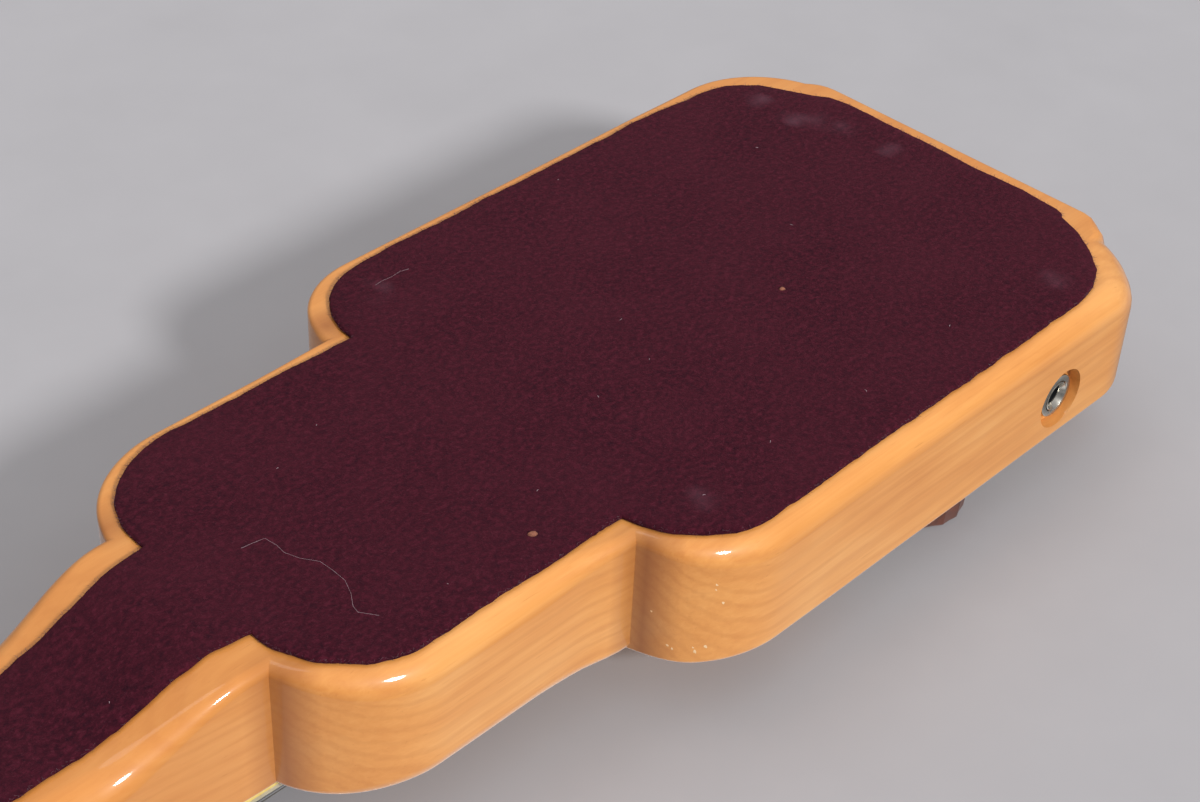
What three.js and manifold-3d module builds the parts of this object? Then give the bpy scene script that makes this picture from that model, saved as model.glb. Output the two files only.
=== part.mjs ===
// Lap steel guitar with a stair-step body, resting on its felt back, strings up.
// Millimetres, +Z up, head towards +X, tail towards -X, treble side at -Y.
// Stations are measured along the length from the tail end, heights from the felt's outer face.
import * as THREE from 'three';
import Module from 'manifold-3d';
import { mergeVertices } from 'three/addons/utils/BufferGeometryUtils.js';

const wasm = await Module();
wasm.setup();

// Clearances
const seat_gap = 0.3;
const overrun = 2;
const weld_distance = 1e-4;

// Plan of the body
const lower_bout_width = 167;
const lower_bout_length = 215.5;
const lower_bout_arc = 35;
const bass_corner_radius = 34;
const treble_corner_radius = 27;
const tail_step_depth = 2.5;
const tail_step_run = 1.5;
const middle_bout_width = 115;
const middle_bout_end = 310;
const middle_bout_arc = 35;
const body_thickness = 42;
const body_edge_radius = 4.8;

// Felt on the back
const felt_thickness = 1.7;
const felt_inset = 5;
const felt_tail_inset = 7.8;
const felt_neck_width = 35;
const felt_notch_width = 42;
const felt_end_from_nut = 14;
const felt_end_radius = 8;

// Neck and heel
const neck_flare = 2.2;
const heel_start_from_bout = 3;
const heel_length = 42;
const heel_rise = 10.5;
const neck_edge_radius = 9;
const neck_front_edge_radius = 1.2;
const neck_side_margin = 0.5;
const neck_root_depth = 40;

// Strings, fretboard and nut
const scale_length = 571.5;
const saddle_from_tail = 62;
const board_width_at_nut = 46;
const board_width_at_tail = 63;
const board_tail_from_saddle = 130;
const board_core_thickness = 3.6;
const board_face_thickness = 1.3;
const fret_count = 24;
const fret_line_width = 1.3;
const fret_line_depth = 0.5;
const fret_line_margin = 0.8;
const marker_length = 7;
const marker_width = 5;
const marker_pair_spread = 11;
const nut_thickness = 5;
const nut_top_radius = 1.6;
const nut_width_margin = 0.6;
const string_height_over_board = 9;
const string_spread_at_nut = 38;
const saddle_spread_share = 0.631;
const string_diameters = [0.95, 0.8, 0.65, 0.5, 0.42, 0.34];
const string_slot_depth = 0.9;

// Headstock
const head_length = 146.5;
const head_width_at_nut = 48;
const head_width = 70;
const head_width_at_tip = 64;
const head_tip_flat = 30;
const head_shoulder_run = 26;
const head_corner_run = 17;
const head_thickness = 15;
const head_drop = 8;
const head_slope_start = 8;
const head_slope_run = 20;
const head_edge_radius = 2.5;

// Tuning machines, three on a plate
const first_post_from_nut = 34;
const post_spacing = 38;
const post_from_centre = 19;
const post_radius = 3;
const post_height = 11;
const post_hole_radius = 0.9;
const post_hole_drop = 3;
const plate_thickness = 1.2;
const plate_width = 24;
const plate_end_margin = 17;
const gear_teeth = 14;
const gear_tip_radius = 5.6;
const gear_tooth_depth = 0.9;
const gear_tip_width = 0.5;
const gear_root_width = 1.3;
const gear_thickness = 4;
const gear_screw_radius = 2.4;
const gear_screw_height = 1.2;
const worm_mean_radius = 2.25;
const worm_thread_height = 0.45;
const worm_turns = 3;
const worm_mesh_depth = 0.45;
const worm_shaft_radius = 1.6;
const lug_thickness = 1.6;
const lug_width = 6.4;
const lug_reach = 2.6;
const button_gap_from_head = 6;
const button_length = 15;
const button_width = 14;
const button_flat = 8;
const button_collar_radius = 2.9;
const button_collar_length = 4;
const wrap_turns = 2;
const wrap_pitch = 1.6;

// Bridge
const bridge_width = 84;
const bridge_length = 34;
const bridge_plate_thickness = 3;
const bridge_tail_length = 22;
const anchor_wall_thickness = 4;
const anchor_wall_height = 11;
const anchor_hole_radius = 1.1;
const anchor_hole_height = 7.5;
const string_ball_radius = 1.9;
const saddle_thickness = 6;
const saddle_top_radius = 1.5;
const bridge_corner_radius = 4;

// Pickup
const pickup_from_saddle = 50;
const pickup_cavity_length = 30;
const pickup_cavity_share = 0.793;
const pickup_cavity_depth = 20;
const pickup_flange_thickness = 1.4;
const pickup_flange_margin = 6;
const pickup_screw_inset = 3.8;
const pickup_cover_height = 6;
const pickup_cover_wall = 1.3;
const pickup_clear = 1;
const blade_thickness = 3;
const blade_slot_gap = 0.6;
const bobbin_flange = 1.6;
const bobbin_height = 13;
const blade_end_wall = 1.3;
const coil_thickness = 4;
const magnet_thickness = 4;
const magnet_width = 12;

// Volume control, in a strip between the bridge and the treble side
const control_plate_from_bridge = 4;
const control_cavity_from_side = 10.5;
const control_cavity_before_jack = 12.2;
const control_cavity_past_channel = 6.6;
const control_cavity_depth = 30;
const control_plate_margin = 3;
const control_plate_thickness = 1.5;
const control_plate_corner = 6;
const pot_can_height = 9;
const pot_bushing_height = 6;
const pot_shaft_reach = 13;
const pot_tag_length = 5;
const pot_tag_thickness = 0.8;
const pot_nut_height = 2.2;
const knob_height = 16;
const knob_flutes = 15;
const knob_steps_per_flute = 4;
const knob_lift = 0.8;
const knob_recess_depth = 4.2;
const knob_pointer_width = 1.4;
const knob_pointer_height = 0.6;
const volume_from_jack = 33.3;

// Sizes of the parts in the control cavity, as shares of its width
const control_size_shares = {
  pot_radius: 0.4375,
  pot_bushing_radius: 0.196,
  pot_shaft_radius: 0.125,
  pot_tag_width: 0.083,
  pot_tag_pitch: 0.208,
  pot_nut_across: 0.529,
  knob_radius: 0.554,
  knob_base_spread: 0.046,
  knob_flute_depth: 0.0375,
  knob_crown: 0.0833,
  knob_recess_radius: 0.35,
  jack_arm_length: 0.5417,
  insulator_length: 0.25,
  tip_spring_length: 0.625,
};

// Output jack in the treble side
const jack_from_tail = 54.2;
const jack_height = 27.6;
const jack_recess_radius = 9.7;
const jack_recess_depth = 4;
const jack_bushing_radius = 4.75;
const jack_bore_radius = 3.25;
const jack_nut_radius = 7;
const jack_nut_thickness = 2.2;
const jack_proud = 0.3;
const jack_flange_radius = 7.6;
const jack_flange_thickness = 1.4;
const jack_arm_width = 7;
const jack_arm_thickness = 1.2;
const jack_arm_offset = 7.4;
const insulator_height = 3;
const tip_spring_thickness = 0.6;
const tip_spring_width = 5;
const tip_spring_hook = 3;

// Screws and wires
const screw_head_radius = 3.4;
const screw_head_height = 1.4;
const screw_head_shares = [[1, 0], [0.92, 0.5], [0.6, 0.9], [0, 1]];
const screw_shank_radius = 1.5;
const screw_tip_length = 1.5;
const screw_taper_length = 4.5;
const screw_length = 12;
const screw_slot_width = 0.9;
const screw_slot_depth = 0.8;
const screw_from_edge = 6;
const wire_radius = 0.8;
const wire_channel_width = 8;
const wire_channel_depth = 12;
const wire_lift = 4;

// Facets
const arc_segments = 8;
const bevel_segments = 3;
const round_segments = 14;
const string_sides = 5;
const wrap_steps = 8;
const screw_sides = 8;
const hole_sides = 8;
const post_sides = 12;
const worm_steps = 6;
const worm_sides = 6;

// Places worked out from the sizes
const nut_from_tail = saddle_from_tail + scale_length;
const overall_length = nut_from_tail + head_length;
const wood_back = felt_thickness + seat_gap;
const lower_half = lower_bout_width / 2;
const middle_half = middle_bout_width / 2;
const neck_back = wood_back + heel_rise;
const board_bottom = body_thickness + seat_gap;
const board_top = board_bottom + board_core_thickness + seat_gap + board_face_thickness;
const string_height = board_top + string_height_over_board;
const head_front = body_thickness - head_drop;
const head_back = head_front - head_thickness;
const front_plate = body_thickness + seat_gap;
const worm_lead = (2 * Math.PI * (gear_tip_radius - gear_tooth_depth / 2)) / gear_teeth;
const worm_offset = gear_tip_radius + worm_mean_radius + worm_thread_height - worm_mesh_depth;

const along = (station) => station - overall_length / 2;
const treble_side = -lower_half;

const string_spread_at_saddle = saddle_spread_share * bridge_width;
const plate_inner_side = -(bridge_width / 2 + control_plate_from_bridge);
const control_front = [
  treble_side + control_cavity_from_side,
  plate_inner_side - control_plate_margin,
];
const control_y = (control_front[0] + control_front[1]) / 2;
const control_cavity_width = control_front[1] - control_front[0];
const pickup_from_tail = saddle_from_tail + pickup_from_saddle;
const lead_from_tail = pickup_from_tail + screw_head_radius + wire_channel_width / 2;
const control_span = [
  jack_from_tail - control_cavity_before_jack,
  lead_from_tail + wire_channel_width / 2 + control_cavity_past_channel,
];
const volume_x = along(jack_from_tail + volume_from_jack);
const inStrip = (part) => control_size_shares[part] * control_cavity_width;
const pot_radius = inStrip('pot_radius');
const pot_bushing_radius = inStrip('pot_bushing_radius');
const pot_shaft_radius = inStrip('pot_shaft_radius');
const pot_tag_pitch = inStrip('pot_tag_pitch');
const knob_radius = inStrip('knob_radius');
const knob_flute_depth = inStrip('knob_flute_depth');
const knob_crown = inStrip('knob_crown');
const jack_arm_length = inStrip('jack_arm_length');
const insulator_length = inStrip('insulator_length');
const pickup_flange_half = -plate_inner_side - 2 * seat_gap;
const pickup_cavity_half = pickup_cavity_share * pickup_flange_half;

// Finishes
const finish = (color, roughness, metalness = 0) =>
  new THREE.MeshStandardMaterial({ color, roughness, metalness });
const maple = finish(0xdca15c, 0.25);
const felt = finish(0x401c28, 0.95);
const aged_cream = finish(0xe6cf7a, 0.4);
const black_laminate = finish(0x17161a, 0.35);
const bone = finish(0xe9e0c8, 0.45);
const nickel = finish(0xc9c6bd, 0.25, 1);
const steel = finish(0xaeb0b3, 0.35, 1);
const brown_plastic = finish(0x4a2418, 0.3);
const black_plastic = finish(0x1b1a1c, 0.4);
const copper_wire = finish(0x9c4a26, 0.4, 0.6);
const magnet_grey = finish(0x55565a, 0.5, 0.8);
const fibre = finish(0x6f4a2c, 0.8);
const cloth_wire = finish(0x3a352c, 0.85);

// Joining and cutting
function solidOf(geometry) {
  const bare = geometry.clone();
  for (const name of Object.keys(bare.attributes)) {
    if (name !== 'position') bare.deleteAttribute(name);
  }
  const merged = mergeVertices(bare, weld_distance);
  const kept = [];
  const index = merged.index.array;
  for (let i = 0; i < index.length; i += 3) {
    const [a, b, c] = [index[i], index[i + 1], index[i + 2]];
    if (a !== b && b !== c && c !== a) kept.push(a, b, c);
  }
  return new wasm.Manifold(
    new wasm.Mesh({
      numProp: 3,
      vertProperties: new Float32Array(merged.attributes.position.array),
      triVerts: new Uint32Array(kept),
    }),
  );
}

function geometryOf(solid) {
  const mesh = solid.getMesh();
  const geometry = new THREE.BufferGeometry();
  geometry.setAttribute('position', new THREE.BufferAttribute(mesh.vertProperties, 3));
  geometry.setIndex(new THREE.BufferAttribute(mesh.triVerts, 1));
  geometry.computeVertexNormals();
  return geometry;
}

const join = (solids) => solids.reduce((whole, next) => whole.add(next));
const cut = (solid, tools) => tools.reduce((left, tool) => left.subtract(tool), solid);

const guitar = new THREE.Group();

function place(name, solid, material) {
  const mesh = new THREE.Mesh(geometryOf(solid), material);
  mesh.name = name;
  guitar.add(mesh);
}

// Basic forms, each given by where it lies
function block(x0, x1, y0, y1, z0, z1) {
  const box = new THREE.BoxGeometry(x1 - x0, y1 - y0, z1 - z0);
  return solidOf(box.translate((x0 + x1) / 2, (y0 + y1) / 2, (z0 + z1) / 2));
}

function post(x, y, z0, z1, radius, segments = round_segments) {
  const rod = new THREE.CylinderGeometry(radius, radius, z1 - z0, segments);
  return solidOf(rod.rotateX(Math.PI / 2).translate(x, y, (z0 + z1) / 2));
}

function rodAcross(x, y0, y1, z, radius, segments = round_segments) {
  const rod = new THREE.CylinderGeometry(radius, radius, Math.abs(y1 - y0), segments);
  return solidOf(rod.translate(x, (y0 + y1) / 2, z));
}

function rodAlong(x0, x1, y, z, radius, segments = round_segments) {
  const rod = new THREE.CylinderGeometry(radius, radius, Math.abs(x1 - x0), segments);
  return solidOf(rod.rotateZ(Math.PI / 2).translate((x0 + x1) / 2, y, z));
}

// A plan outline raised from z0 to z1
function raise(shape, z0, z1, segments = arc_segments) {
  const geometry = new THREE.ExtrudeGeometry(shape, {
    depth: z1 - z0,
    bevelEnabled: false,
    curveSegments: segments,
  });
  return solidOf(geometry.translate(0, 0, z0));
}

// The same with a rounded edge above and below
function raiseRounded(shape, z0, z1, radius, segments = bevel_segments, turns = arc_segments) {
  const geometry = new THREE.ExtrudeGeometry(shape, {
    depth: z1 - z0 - 2 * radius,
    bevelEnabled: true,
    bevelThickness: radius,
    bevelSize: radius,
    bevelOffset: -radius,
    bevelSegments: segments,
    curveSegments: turns,
  });
  return solidOf(geometry.translate(0, 0, z0 + radius));
}

// A side profile of [x, z] points, carried across from y0 to y1
function acrossProfile(points, y0, y1) {
  const shape = new THREE.Shape(points.map(([x, z]) => new THREE.Vector2(x, z)));
  const geometry = new THREE.ExtrudeGeometry(shape, { depth: y1 - y0, bevelEnabled: false });
  return solidOf(geometry.rotateX(Math.PI / 2).translate(0, y1, 0));
}

function roundedRectangle(x0, x1, y0, y1, radius) {
  const shape = new THREE.Shape();
  shape.moveTo(x0 + radius, y0);
  shape.lineTo(x1 - radius, y0);
  shape.absarc(x1 - radius, y0 + radius, radius, -Math.PI / 2, 0);
  shape.lineTo(x1, y1 - radius);
  shape.absarc(x1 - radius, y1 - radius, radius, 0, Math.PI / 2);
  shape.lineTo(x0 + radius, y1);
  shape.absarc(x0 + radius, y1 - radius, radius, Math.PI / 2, Math.PI);
  shape.lineTo(x0, y0 + radius);
  shape.absarc(x0 + radius, y0 + radius, radius, Math.PI, 1.5 * Math.PI);
  return shape;
}

// A path that passes straight from point to point, one sweep step for each
class Waypoints extends THREE.Curve {
  constructor(points) {
    super();
    this.points = points;
  }
  getPoint(t, target = new THREE.Vector3()) {
    const place = t * (this.points.length - 1);
    const first = Math.min(Math.floor(place), this.points.length - 2);
    return target.lerpVectors(this.points[first], this.points[first + 1], place - first);
  }
  getSpacedPoints() {
    return this.points;
  }
  getTangentAt(u, target = new THREE.Vector3()) {
    const i = Math.round(u * (this.points.length - 1));
    const before = this.points[Math.max(i - 1, 0)];
    const after = this.points[Math.min(i + 1, this.points.length - 1)];
    return target.subVectors(after, before).normalize();
  }
}

function tube(points, radius, sides = string_sides) {
  const section = new THREE.Shape();
  for (let i = 0; i < sides; i++) {
    const angle = (2 * Math.PI * i) / sides;
    const [u, v] = [radius * Math.cos(angle), radius * Math.sin(angle)];
    if (i === 0) section.moveTo(u, v);
    else section.lineTo(u, v);
  }
  section.closePath();
  const geometry = new THREE.ExtrudeGeometry(section, {
    steps: points.length - 1,
    extrudePath: new Waypoints(points),
  });
  return solidOf(geometry);
}

const smooth = (t) => {
  const held = Math.min(Math.max(t, 0), 1);
  return held * held * (3 - 2 * held);
};

// How far the back of the heel and neck has risen at a station
function heelRise(station) {
  const start = middle_bout_end + heel_start_from_bout;
  return heel_rise * smooth((station - start) / heel_length);
}

const boardHalf = (station) => {
  const board_tail = saddle_from_tail + board_tail_from_saddle;
  const share = (nut_from_tail - station) / (nut_from_tail - board_tail);
  return (board_width_at_nut + share * (board_width_at_tail - board_width_at_nut)) / 2;
};

const neckHalf = (station) =>
  boardHalf(station) +
  neck_side_margin +
  neck_flare * (1 - smooth((station - middle_bout_end) / heel_length));

// Plan outlines of the two bouts, with arcs that face the head
function boutPlan(start, end, half, arc) {
  const shape = new THREE.Shape();
  shape.moveTo(along(start), -half);
  shape.lineTo(along(end - arc), -half);
  shape.absarc(along(end - arc), arc - half, arc, -Math.PI / 2, 0);
  shape.lineTo(along(end), half - arc);
  shape.absarc(along(end - arc), half - arc, arc, 0, Math.PI / 2);
  shape.lineTo(along(start), half);
  return shape;
}

function lowerBoutPlan(inset, tail_inset, step) {
  const half = lower_half - inset;
  const arc = lower_bout_arc - inset;
  const bass = bass_corner_radius - inset;
  const treble = treble_corner_radius - inset;
  const end = lower_bout_length - inset;
  const tail = tail_inset;
  const bass_x = along(tail + step + bass);
  const treble_x = along(tail + step + treble);
  const shape = new THREE.Shape();
  shape.moveTo(along(tail), -(half - treble - tail_step_run));
  shape.lineTo(along(tail + step), -(half - treble));
  shape.absarc(treble_x, -(half - treble), treble, Math.PI, 1.5 * Math.PI);
  shape.lineTo(along(end - arc), -half);
  shape.absarc(along(end - arc), arc - half, arc, -Math.PI / 2, 0);
  shape.lineTo(along(end), half - arc);
  shape.absarc(along(end - arc), half - arc, arc, 0, Math.PI / 2);
  shape.lineTo(bass_x, half);
  shape.absarc(bass_x, half - bass, bass, Math.PI / 2, Math.PI);
  shape.lineTo(along(tail), half - bass - tail_step_run);
  return shape;
}

// The neck is lofted from rounded sections, so that its back can rise along the heel
function neckSolid() {
  const head_slope = nut_from_tail + head_slope_start;
  const stations = [middle_bout_end - neck_root_depth];
  const heel_steps = 8;
  for (let i = 0; i <= heel_steps; i++) {
    stations.push(middle_bout_end + ((heel_start_from_bout + heel_length) * i) / heel_steps);
  }
  stations.push(nut_from_tail - head_slope_run);
  const slope_steps = 4;
  for (let i = 0; i <= slope_steps; i++) {
    stations.push(head_slope + (head_slope_run * i) / slope_steps);
  }
  const sections = stations.map((station) => {
    const slope = smooth((station - head_slope) / head_slope_run);
    const rising = smooth((station - nut_from_tail + head_slope_run) / (2 * head_slope_run));
    const low = wood_back + heelRise(station) + rising * (head_back - neck_back);
    const high = body_thickness - head_drop * slope;
    const half = neckHalf(Math.min(station, nut_from_tail));
    return { x: along(station), half, low, high };
  });
  return loft(sections);
}

// Joins rounded rectangles that stand across the length into one closed body
function loft(sections) {
  const corner_steps = 4;
  const rings = sections.map(({ x, half, low, high }) => {
    const ring = [];
    const corners = [
      [1, low, neck_edge_radius, -1, 0],
      [1, high, neck_front_edge_radius, 1, 1],
      [-1, high, neck_front_edge_radius, 1, 2],
      [-1, low, neck_edge_radius, -1, 3],
    ];
    for (const [side, level, radius, upward, quarter] of corners) {
      const middle_y = side * (half - radius);
      const middle_z = level - upward * radius;
      for (let i = 0; i <= corner_steps; i++) {
        const angle = (Math.PI / 2) * (quarter - 1 + i / corner_steps);
        const y = middle_y + radius * Math.cos(angle);
        const z = middle_z + radius * Math.sin(angle);
        ring.push(new THREE.Vector3(x, y, z));
      }
    }
    return ring;
  });
  const count = rings[0].length;
  const positions = rings.flat().flatMap((p) => [p.x, p.y, p.z]);
  const index = [];
  for (let r = 0; r + 1 < rings.length; r++) {
    for (let i = 0; i < count; i++) {
      const next = (i + 1) % count;
      const [a, b] = [r * count + i, r * count + next];
      const [c, d] = [a + count, b + count];
      index.push(a, b, d, a, d, c);
    }
  }
  const last = (rings.length - 1) * count;
  for (let i = 1; i + 1 < count; i++) {
    index.push(0, i + 1, i, last, last + i, last + i + 1);
  }
  const geometry = new THREE.BufferGeometry();
  geometry.setAttribute('position', new THREE.Float32BufferAttribute(positions, 3));
  geometry.setIndex(index);
  return solidOf(geometry);
}

function headPlan() {
  const start = nut_from_tail + head_slope_start;
  const tip = overall_length;
  const side = head_width / 2;
  const end_side = head_width_at_tip / 2;
  const shape = new THREE.Shape();
  const shoulder = along(start + head_shoulder_run);
  const bend = along(start + head_shoulder_run / 2);
  const corner = along(tip - head_corner_run);
  shape.moveTo(along(start), -head_width_at_nut / 2);
  shape.bezierCurveTo(bend, -head_width_at_nut / 2, bend, -side, shoulder, -side);
  shape.lineTo(corner, -end_side);
  shape.quadraticCurveTo(along(tip), -end_side, along(tip), -head_tip_flat / 2);
  shape.lineTo(along(tip), head_tip_flat / 2);
  shape.quadraticCurveTo(along(tip), end_side, corner, end_side);
  shape.lineTo(shoulder, side);
  shape.bezierCurveTo(bend, side, bend, head_width_at_nut / 2, along(start), head_width_at_nut / 2);
  return shape;
}

const sides = [
  { name: 'bass', y: 1 },
  { name: 'treble', y: -1 },
];

// Tuning machines are numbered along the bass side and then the treble side
const machines = sides.flatMap(({ y }, s) =>
  [0, 1, 2].map((i) => ({
    number: 3 * s + i + 1,
    side: y,
    x: along(nut_from_tail + first_post_from_nut + post_spacing * i),
    y: y * post_from_centre,
  })),
);

const pickup_x = along(pickup_from_tail);
const lead_x = along(lead_from_tail);
const jack_x = along(jack_from_tail);
const recess_floor = treble_side + jack_recess_depth;

const plateScrewSpots = () =>
  control_span.map((station, end) => [
    along(station) + (end ? 1 : -1) * screw_from_edge,
    control_y,
  ]);

const bridge_x0 = along(saddle_from_tail - bridge_tail_length);
const bridge_x1 = bridge_x0 + bridge_length;
const bridgeScrewSpots = () => {
  const saddle_front = along(saddle_from_tail) + saddle_thickness / 2;
  const x = (saddle_front + bridge_x1) / 2;
  return sides.map(({ y }) => [x, y * (bridge_width / 2 - screw_from_edge)]);
};

const pickupScrewSpots = () =>
  sides.map(({ y }) => [pickup_x, y * (pickup_flange_half - pickup_screw_inset)]);

const screwHole = ([x, y]) =>
  post(x, y, body_thickness - screw_length - seat_gap, body_thickness + overrun,
    screw_shank_radius + seat_gap, hole_sides);

function makeWood() {
  const top = body_thickness;
  const lower = raiseBody(lowerBoutPlan(0, 0, tail_step_depth));
  const middle = raiseBody(
    boutPlan(lower_bout_length / 2, middle_bout_end, middle_half, middle_bout_arc),
  );
  const head = raiseRounded(headPlan(), head_back, head_front, head_edge_radius, 2);
  const blank = join([lower, middle, neckSolid(), head]);

  const control = block(
    along(control_span[0]), along(control_span[1]), ...control_front,
    top - control_cavity_depth, top + overrun,
  );
  const [px, py] = [pickup_cavity_length / 2, pickup_cavity_half];
  const pickup = raise(
    roundedRectangle(pickup_x - px, pickup_x + px, -py, py, body_edge_radius),
    top - pickup_cavity_depth, top + overrun, 3,
  );
  const channel = block(
    lead_x - wire_channel_width / 2, lead_x + wire_channel_width / 2,
    control_front[1] - overrun, -py + overrun, top - wire_channel_depth, top - wire_lift,
  );
  const recess = rodAcross(
    jack_x, treble_side - overrun, recess_floor, jack_height, jack_recess_radius, 24,
  );
  const jack_hole = rodAcross(
    jack_x, treble_side, control_front[0] + overrun, jack_height, jack_bushing_radius + seat_gap,
  );
  const post_holes = machines.map(({ x, y }) =>
    post(x, y, head_back - overrun, head_front + overrun, post_radius + seat_gap, post_sides),
  );
  const screw_holes = [...plateScrewSpots(), ...bridgeScrewSpots(), ...pickupScrewSpots()];
  const tools = [control, pickup, channel, recess, jack_hole, ...post_holes];
  return cut(blank, [...tools, ...screw_holes.map(screwHole)]);
}

const raiseBody = (plan) => raiseRounded(plan, wood_back, body_thickness, body_edge_radius);

function makeFelt() {
  const thick = body_thickness;
  const lower = raise(lowerBoutPlan(felt_inset, felt_tail_inset, tail_step_depth), -overrun, thick);
  const middle = raise(
    boutPlan(
      lower_bout_length / 2, middle_bout_end - felt_inset, middle_half - felt_inset,
      middle_bout_arc - felt_inset,
    ), -overrun, thick,
  );
  const half = felt_neck_width / 2;
  const notch_half = felt_notch_width / 2;
  const end = along(nut_from_tail - felt_end_from_nut);
  const strip = new THREE.Shape();
  strip.moveTo(along(middle_bout_end - neck_root_depth), -notch_half);
  strip.lineTo(along(middle_bout_end - felt_inset), -notch_half);
  strip.quadraticCurveTo(along(middle_bout_end + heel_length / 2), -half,
    along(middle_bout_end + heel_length), -half);
  strip.lineTo(end - felt_end_radius, -half);
  strip.quadraticCurveTo(end, -half, end, felt_end_radius - half);
  strip.lineTo(end, half - felt_end_radius);
  strip.quadraticCurveTo(end, half, end - felt_end_radius, half);
  strip.lineTo(along(middle_bout_end + heel_length), half);
  strip.quadraticCurveTo(along(middle_bout_end + heel_length / 2), half,
    along(middle_bout_end - felt_inset), notch_half);
  strip.lineTo(along(middle_bout_end - neck_root_depth), notch_half);
  const plan = join([lower, middle, raise(strip, -overrun, thick)]);

  const profile = [];
  const heel_steps = 9;
  const heel_start = middle_bout_end + heel_start_from_bout;
  for (let i = 0; i <= heel_steps; i++) {
    const station = heel_start + (heel_length * i) / heel_steps;
    profile.push([along(station), heelRise(station)]);
  }
  profile.push([along(nut_from_tail), heel_rise]);
  const back = [[along(0), 0], ...profile];
  const front = back.map(([x, z]) => [x, z + felt_thickness]).reverse();
  return plan.intersect(acrossProfile([...back, ...front], -lower_half, lower_half));
}

// Fretboard: a cream core that shows at the sides under a black face with cut fret lines
function boardPlan(margin) {
  const start = saddle_from_tail + board_tail_from_saddle;
  const end = nut_from_tail - nut_thickness / 2 - seat_gap;
  const shape = new THREE.Shape();
  shape.moveTo(along(start), -(boardHalf(start) - margin));
  shape.lineTo(along(end), -(boardHalf(end) - margin));
  shape.lineTo(along(end), boardHalf(end) - margin);
  shape.lineTo(along(start), boardHalf(start) - margin);
  return shape;
}

const fretStation = (number) => nut_from_tail - scale_length * (1 - 2 ** (-number / 12));

function makeBoardFace() {
  const z0 = board_bottom + board_core_thickness + seat_gap;
  const tools = [];
  for (let number = 1; number <= fret_count; number++) {
    const station = fretStation(number);
    const half = boardHalf(station) - fret_line_margin;
    const x = along(station);
    const width = fret_line_width / 2;
    tools.push(block(x - width, x + width, -half, half, board_top - fret_line_depth,
      board_top + overrun));
  }
  const single_markers = [3, 5, 7, 9, 15, 17, 19, 21];
  const double_markers = [12, 24];
  const diamond = (number, y) => {
    const x = along((fretStation(number) + fretStation(number - 1)) / 2);
    const shape = new THREE.Shape();
    shape.moveTo(x - marker_length / 2, y);
    shape.lineTo(x, y - marker_width / 2);
    shape.lineTo(x + marker_length / 2, y);
    shape.lineTo(x, y + marker_width / 2);
    return raise(shape, board_top - fret_line_depth, board_top + overrun);
  };
  for (const number of single_markers) tools.push(diamond(number, 0));
  for (const number of double_markers) {
    tools.push(diamond(number, marker_pair_spread), diamond(number, -marker_pair_spread));
  }
  return cut(raise(boardPlan(0), z0, board_top), tools);
}

// Strings are numbered from the bass side
const string_shares = [0.5, 0.3, 0.1, -0.1, -0.3, -0.5];
const stringY = (share, spread) => share * spread;

function makeNut() {
  const half = board_width_at_nut / 2 + nut_width_margin - seat_gap;
  const x = along(nut_from_tail);
  const side = nut_thickness / 2;
  const top = string_height + string_slot_depth;
  const round = nut_top_radius;
  const profile = [[x - side, front_plate], [x + side, front_plate], [x + side, top - 2 * round]];
  const steps = 4;
  for (let i = 0; i <= steps; i++) {
    const angle = (Math.PI / 2) * (i / steps);
    profile.push([x + side - round + round * Math.cos(angle), top - round + round * Math.sin(angle)]);
  }
  profile.push([x - side, top - seat_gap]);
  const blank = acrossProfile(profile, -half, half);
  return cut(blank, stringSlots(x, side, string_spread_at_nut));
}

function stringSlots(x, side, spread) {
  return string_shares.map((share, i) => {
    const y = stringY(share, spread);
    const radius = string_diameters[i] / 2 + seat_gap;
    const floor = string_height - radius;
    return block(x - side - overrun, x + side + overrun, y - radius, y + radius, floor,
      string_height + string_slot_depth + overrun);
  });
}

function makeSaddle() {
  const half = string_spread_at_saddle / 2 + string_ball_radius * 2;
  const x = along(saddle_from_tail);
  const base = saddle_thickness / 2;
  const low = front_plate + bridge_plate_thickness + seat_gap;
  const top = string_height + string_slot_depth;
  const round = saddle_top_radius;
  const profile = [[x - base, low], [x + base, low]];
  const steps = 5;
  for (let i = 0; i <= steps; i++) {
    const angle = Math.PI * (i / steps);
    profile.push([x + round * Math.cos(angle), top - round + round * Math.sin(angle)]);
  }
  const blank = acrossProfile(profile, -half, half);
  return cut(blank, stringSlots(x, base, string_spread_at_saddle));
}

// Bridge plate with an upturned wall behind the saddle that holds the strings' ball ends
const anchor_x = bridge_x0 + string_ball_radius * 2 + overrun;

function makeBridge() {
  const half = bridge_width / 2;
  const low = front_plate;
  const high = low + bridge_plate_thickness;
  const plate = raise(
    roundedRectangle(bridge_x0, bridge_x1, -half, half, bridge_corner_radius), low, high, 4,
  );
  const wall_half = string_spread_at_saddle / 2 + string_ball_radius * 2;
  const wall_top = high + anchor_wall_height;
  const lean = anchor_wall_thickness / 2;
  const wall = acrossProfile(
    [
      [anchor_x, high - lean],
      [anchor_x + anchor_wall_thickness + lean, high - lean],
      [anchor_x + anchor_wall_thickness, high + lean],
      [anchor_x + anchor_wall_thickness, wall_top - lean],
      [anchor_x + lean, wall_top],
      [anchor_x, wall_top - lean],
    ],
    -wall_half, wall_half,
  );
  const holes = string_shares.map((share) =>
    rodAlong(
      anchor_x - overrun, anchor_x + anchor_wall_thickness + overrun,
      stringY(share, string_spread_at_saddle), high + anchor_hole_height, anchor_hole_radius,
      hole_sides,
    ),
  );
  const screws = bridgeScrewSpots().map(([x, y]) =>
    post(x, y, low - overrun, high + overrun, screw_shank_radius + seat_gap, hole_sides),
  );
  return cut(plate.add(wall), [...holes, ...screws]);
}

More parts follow.
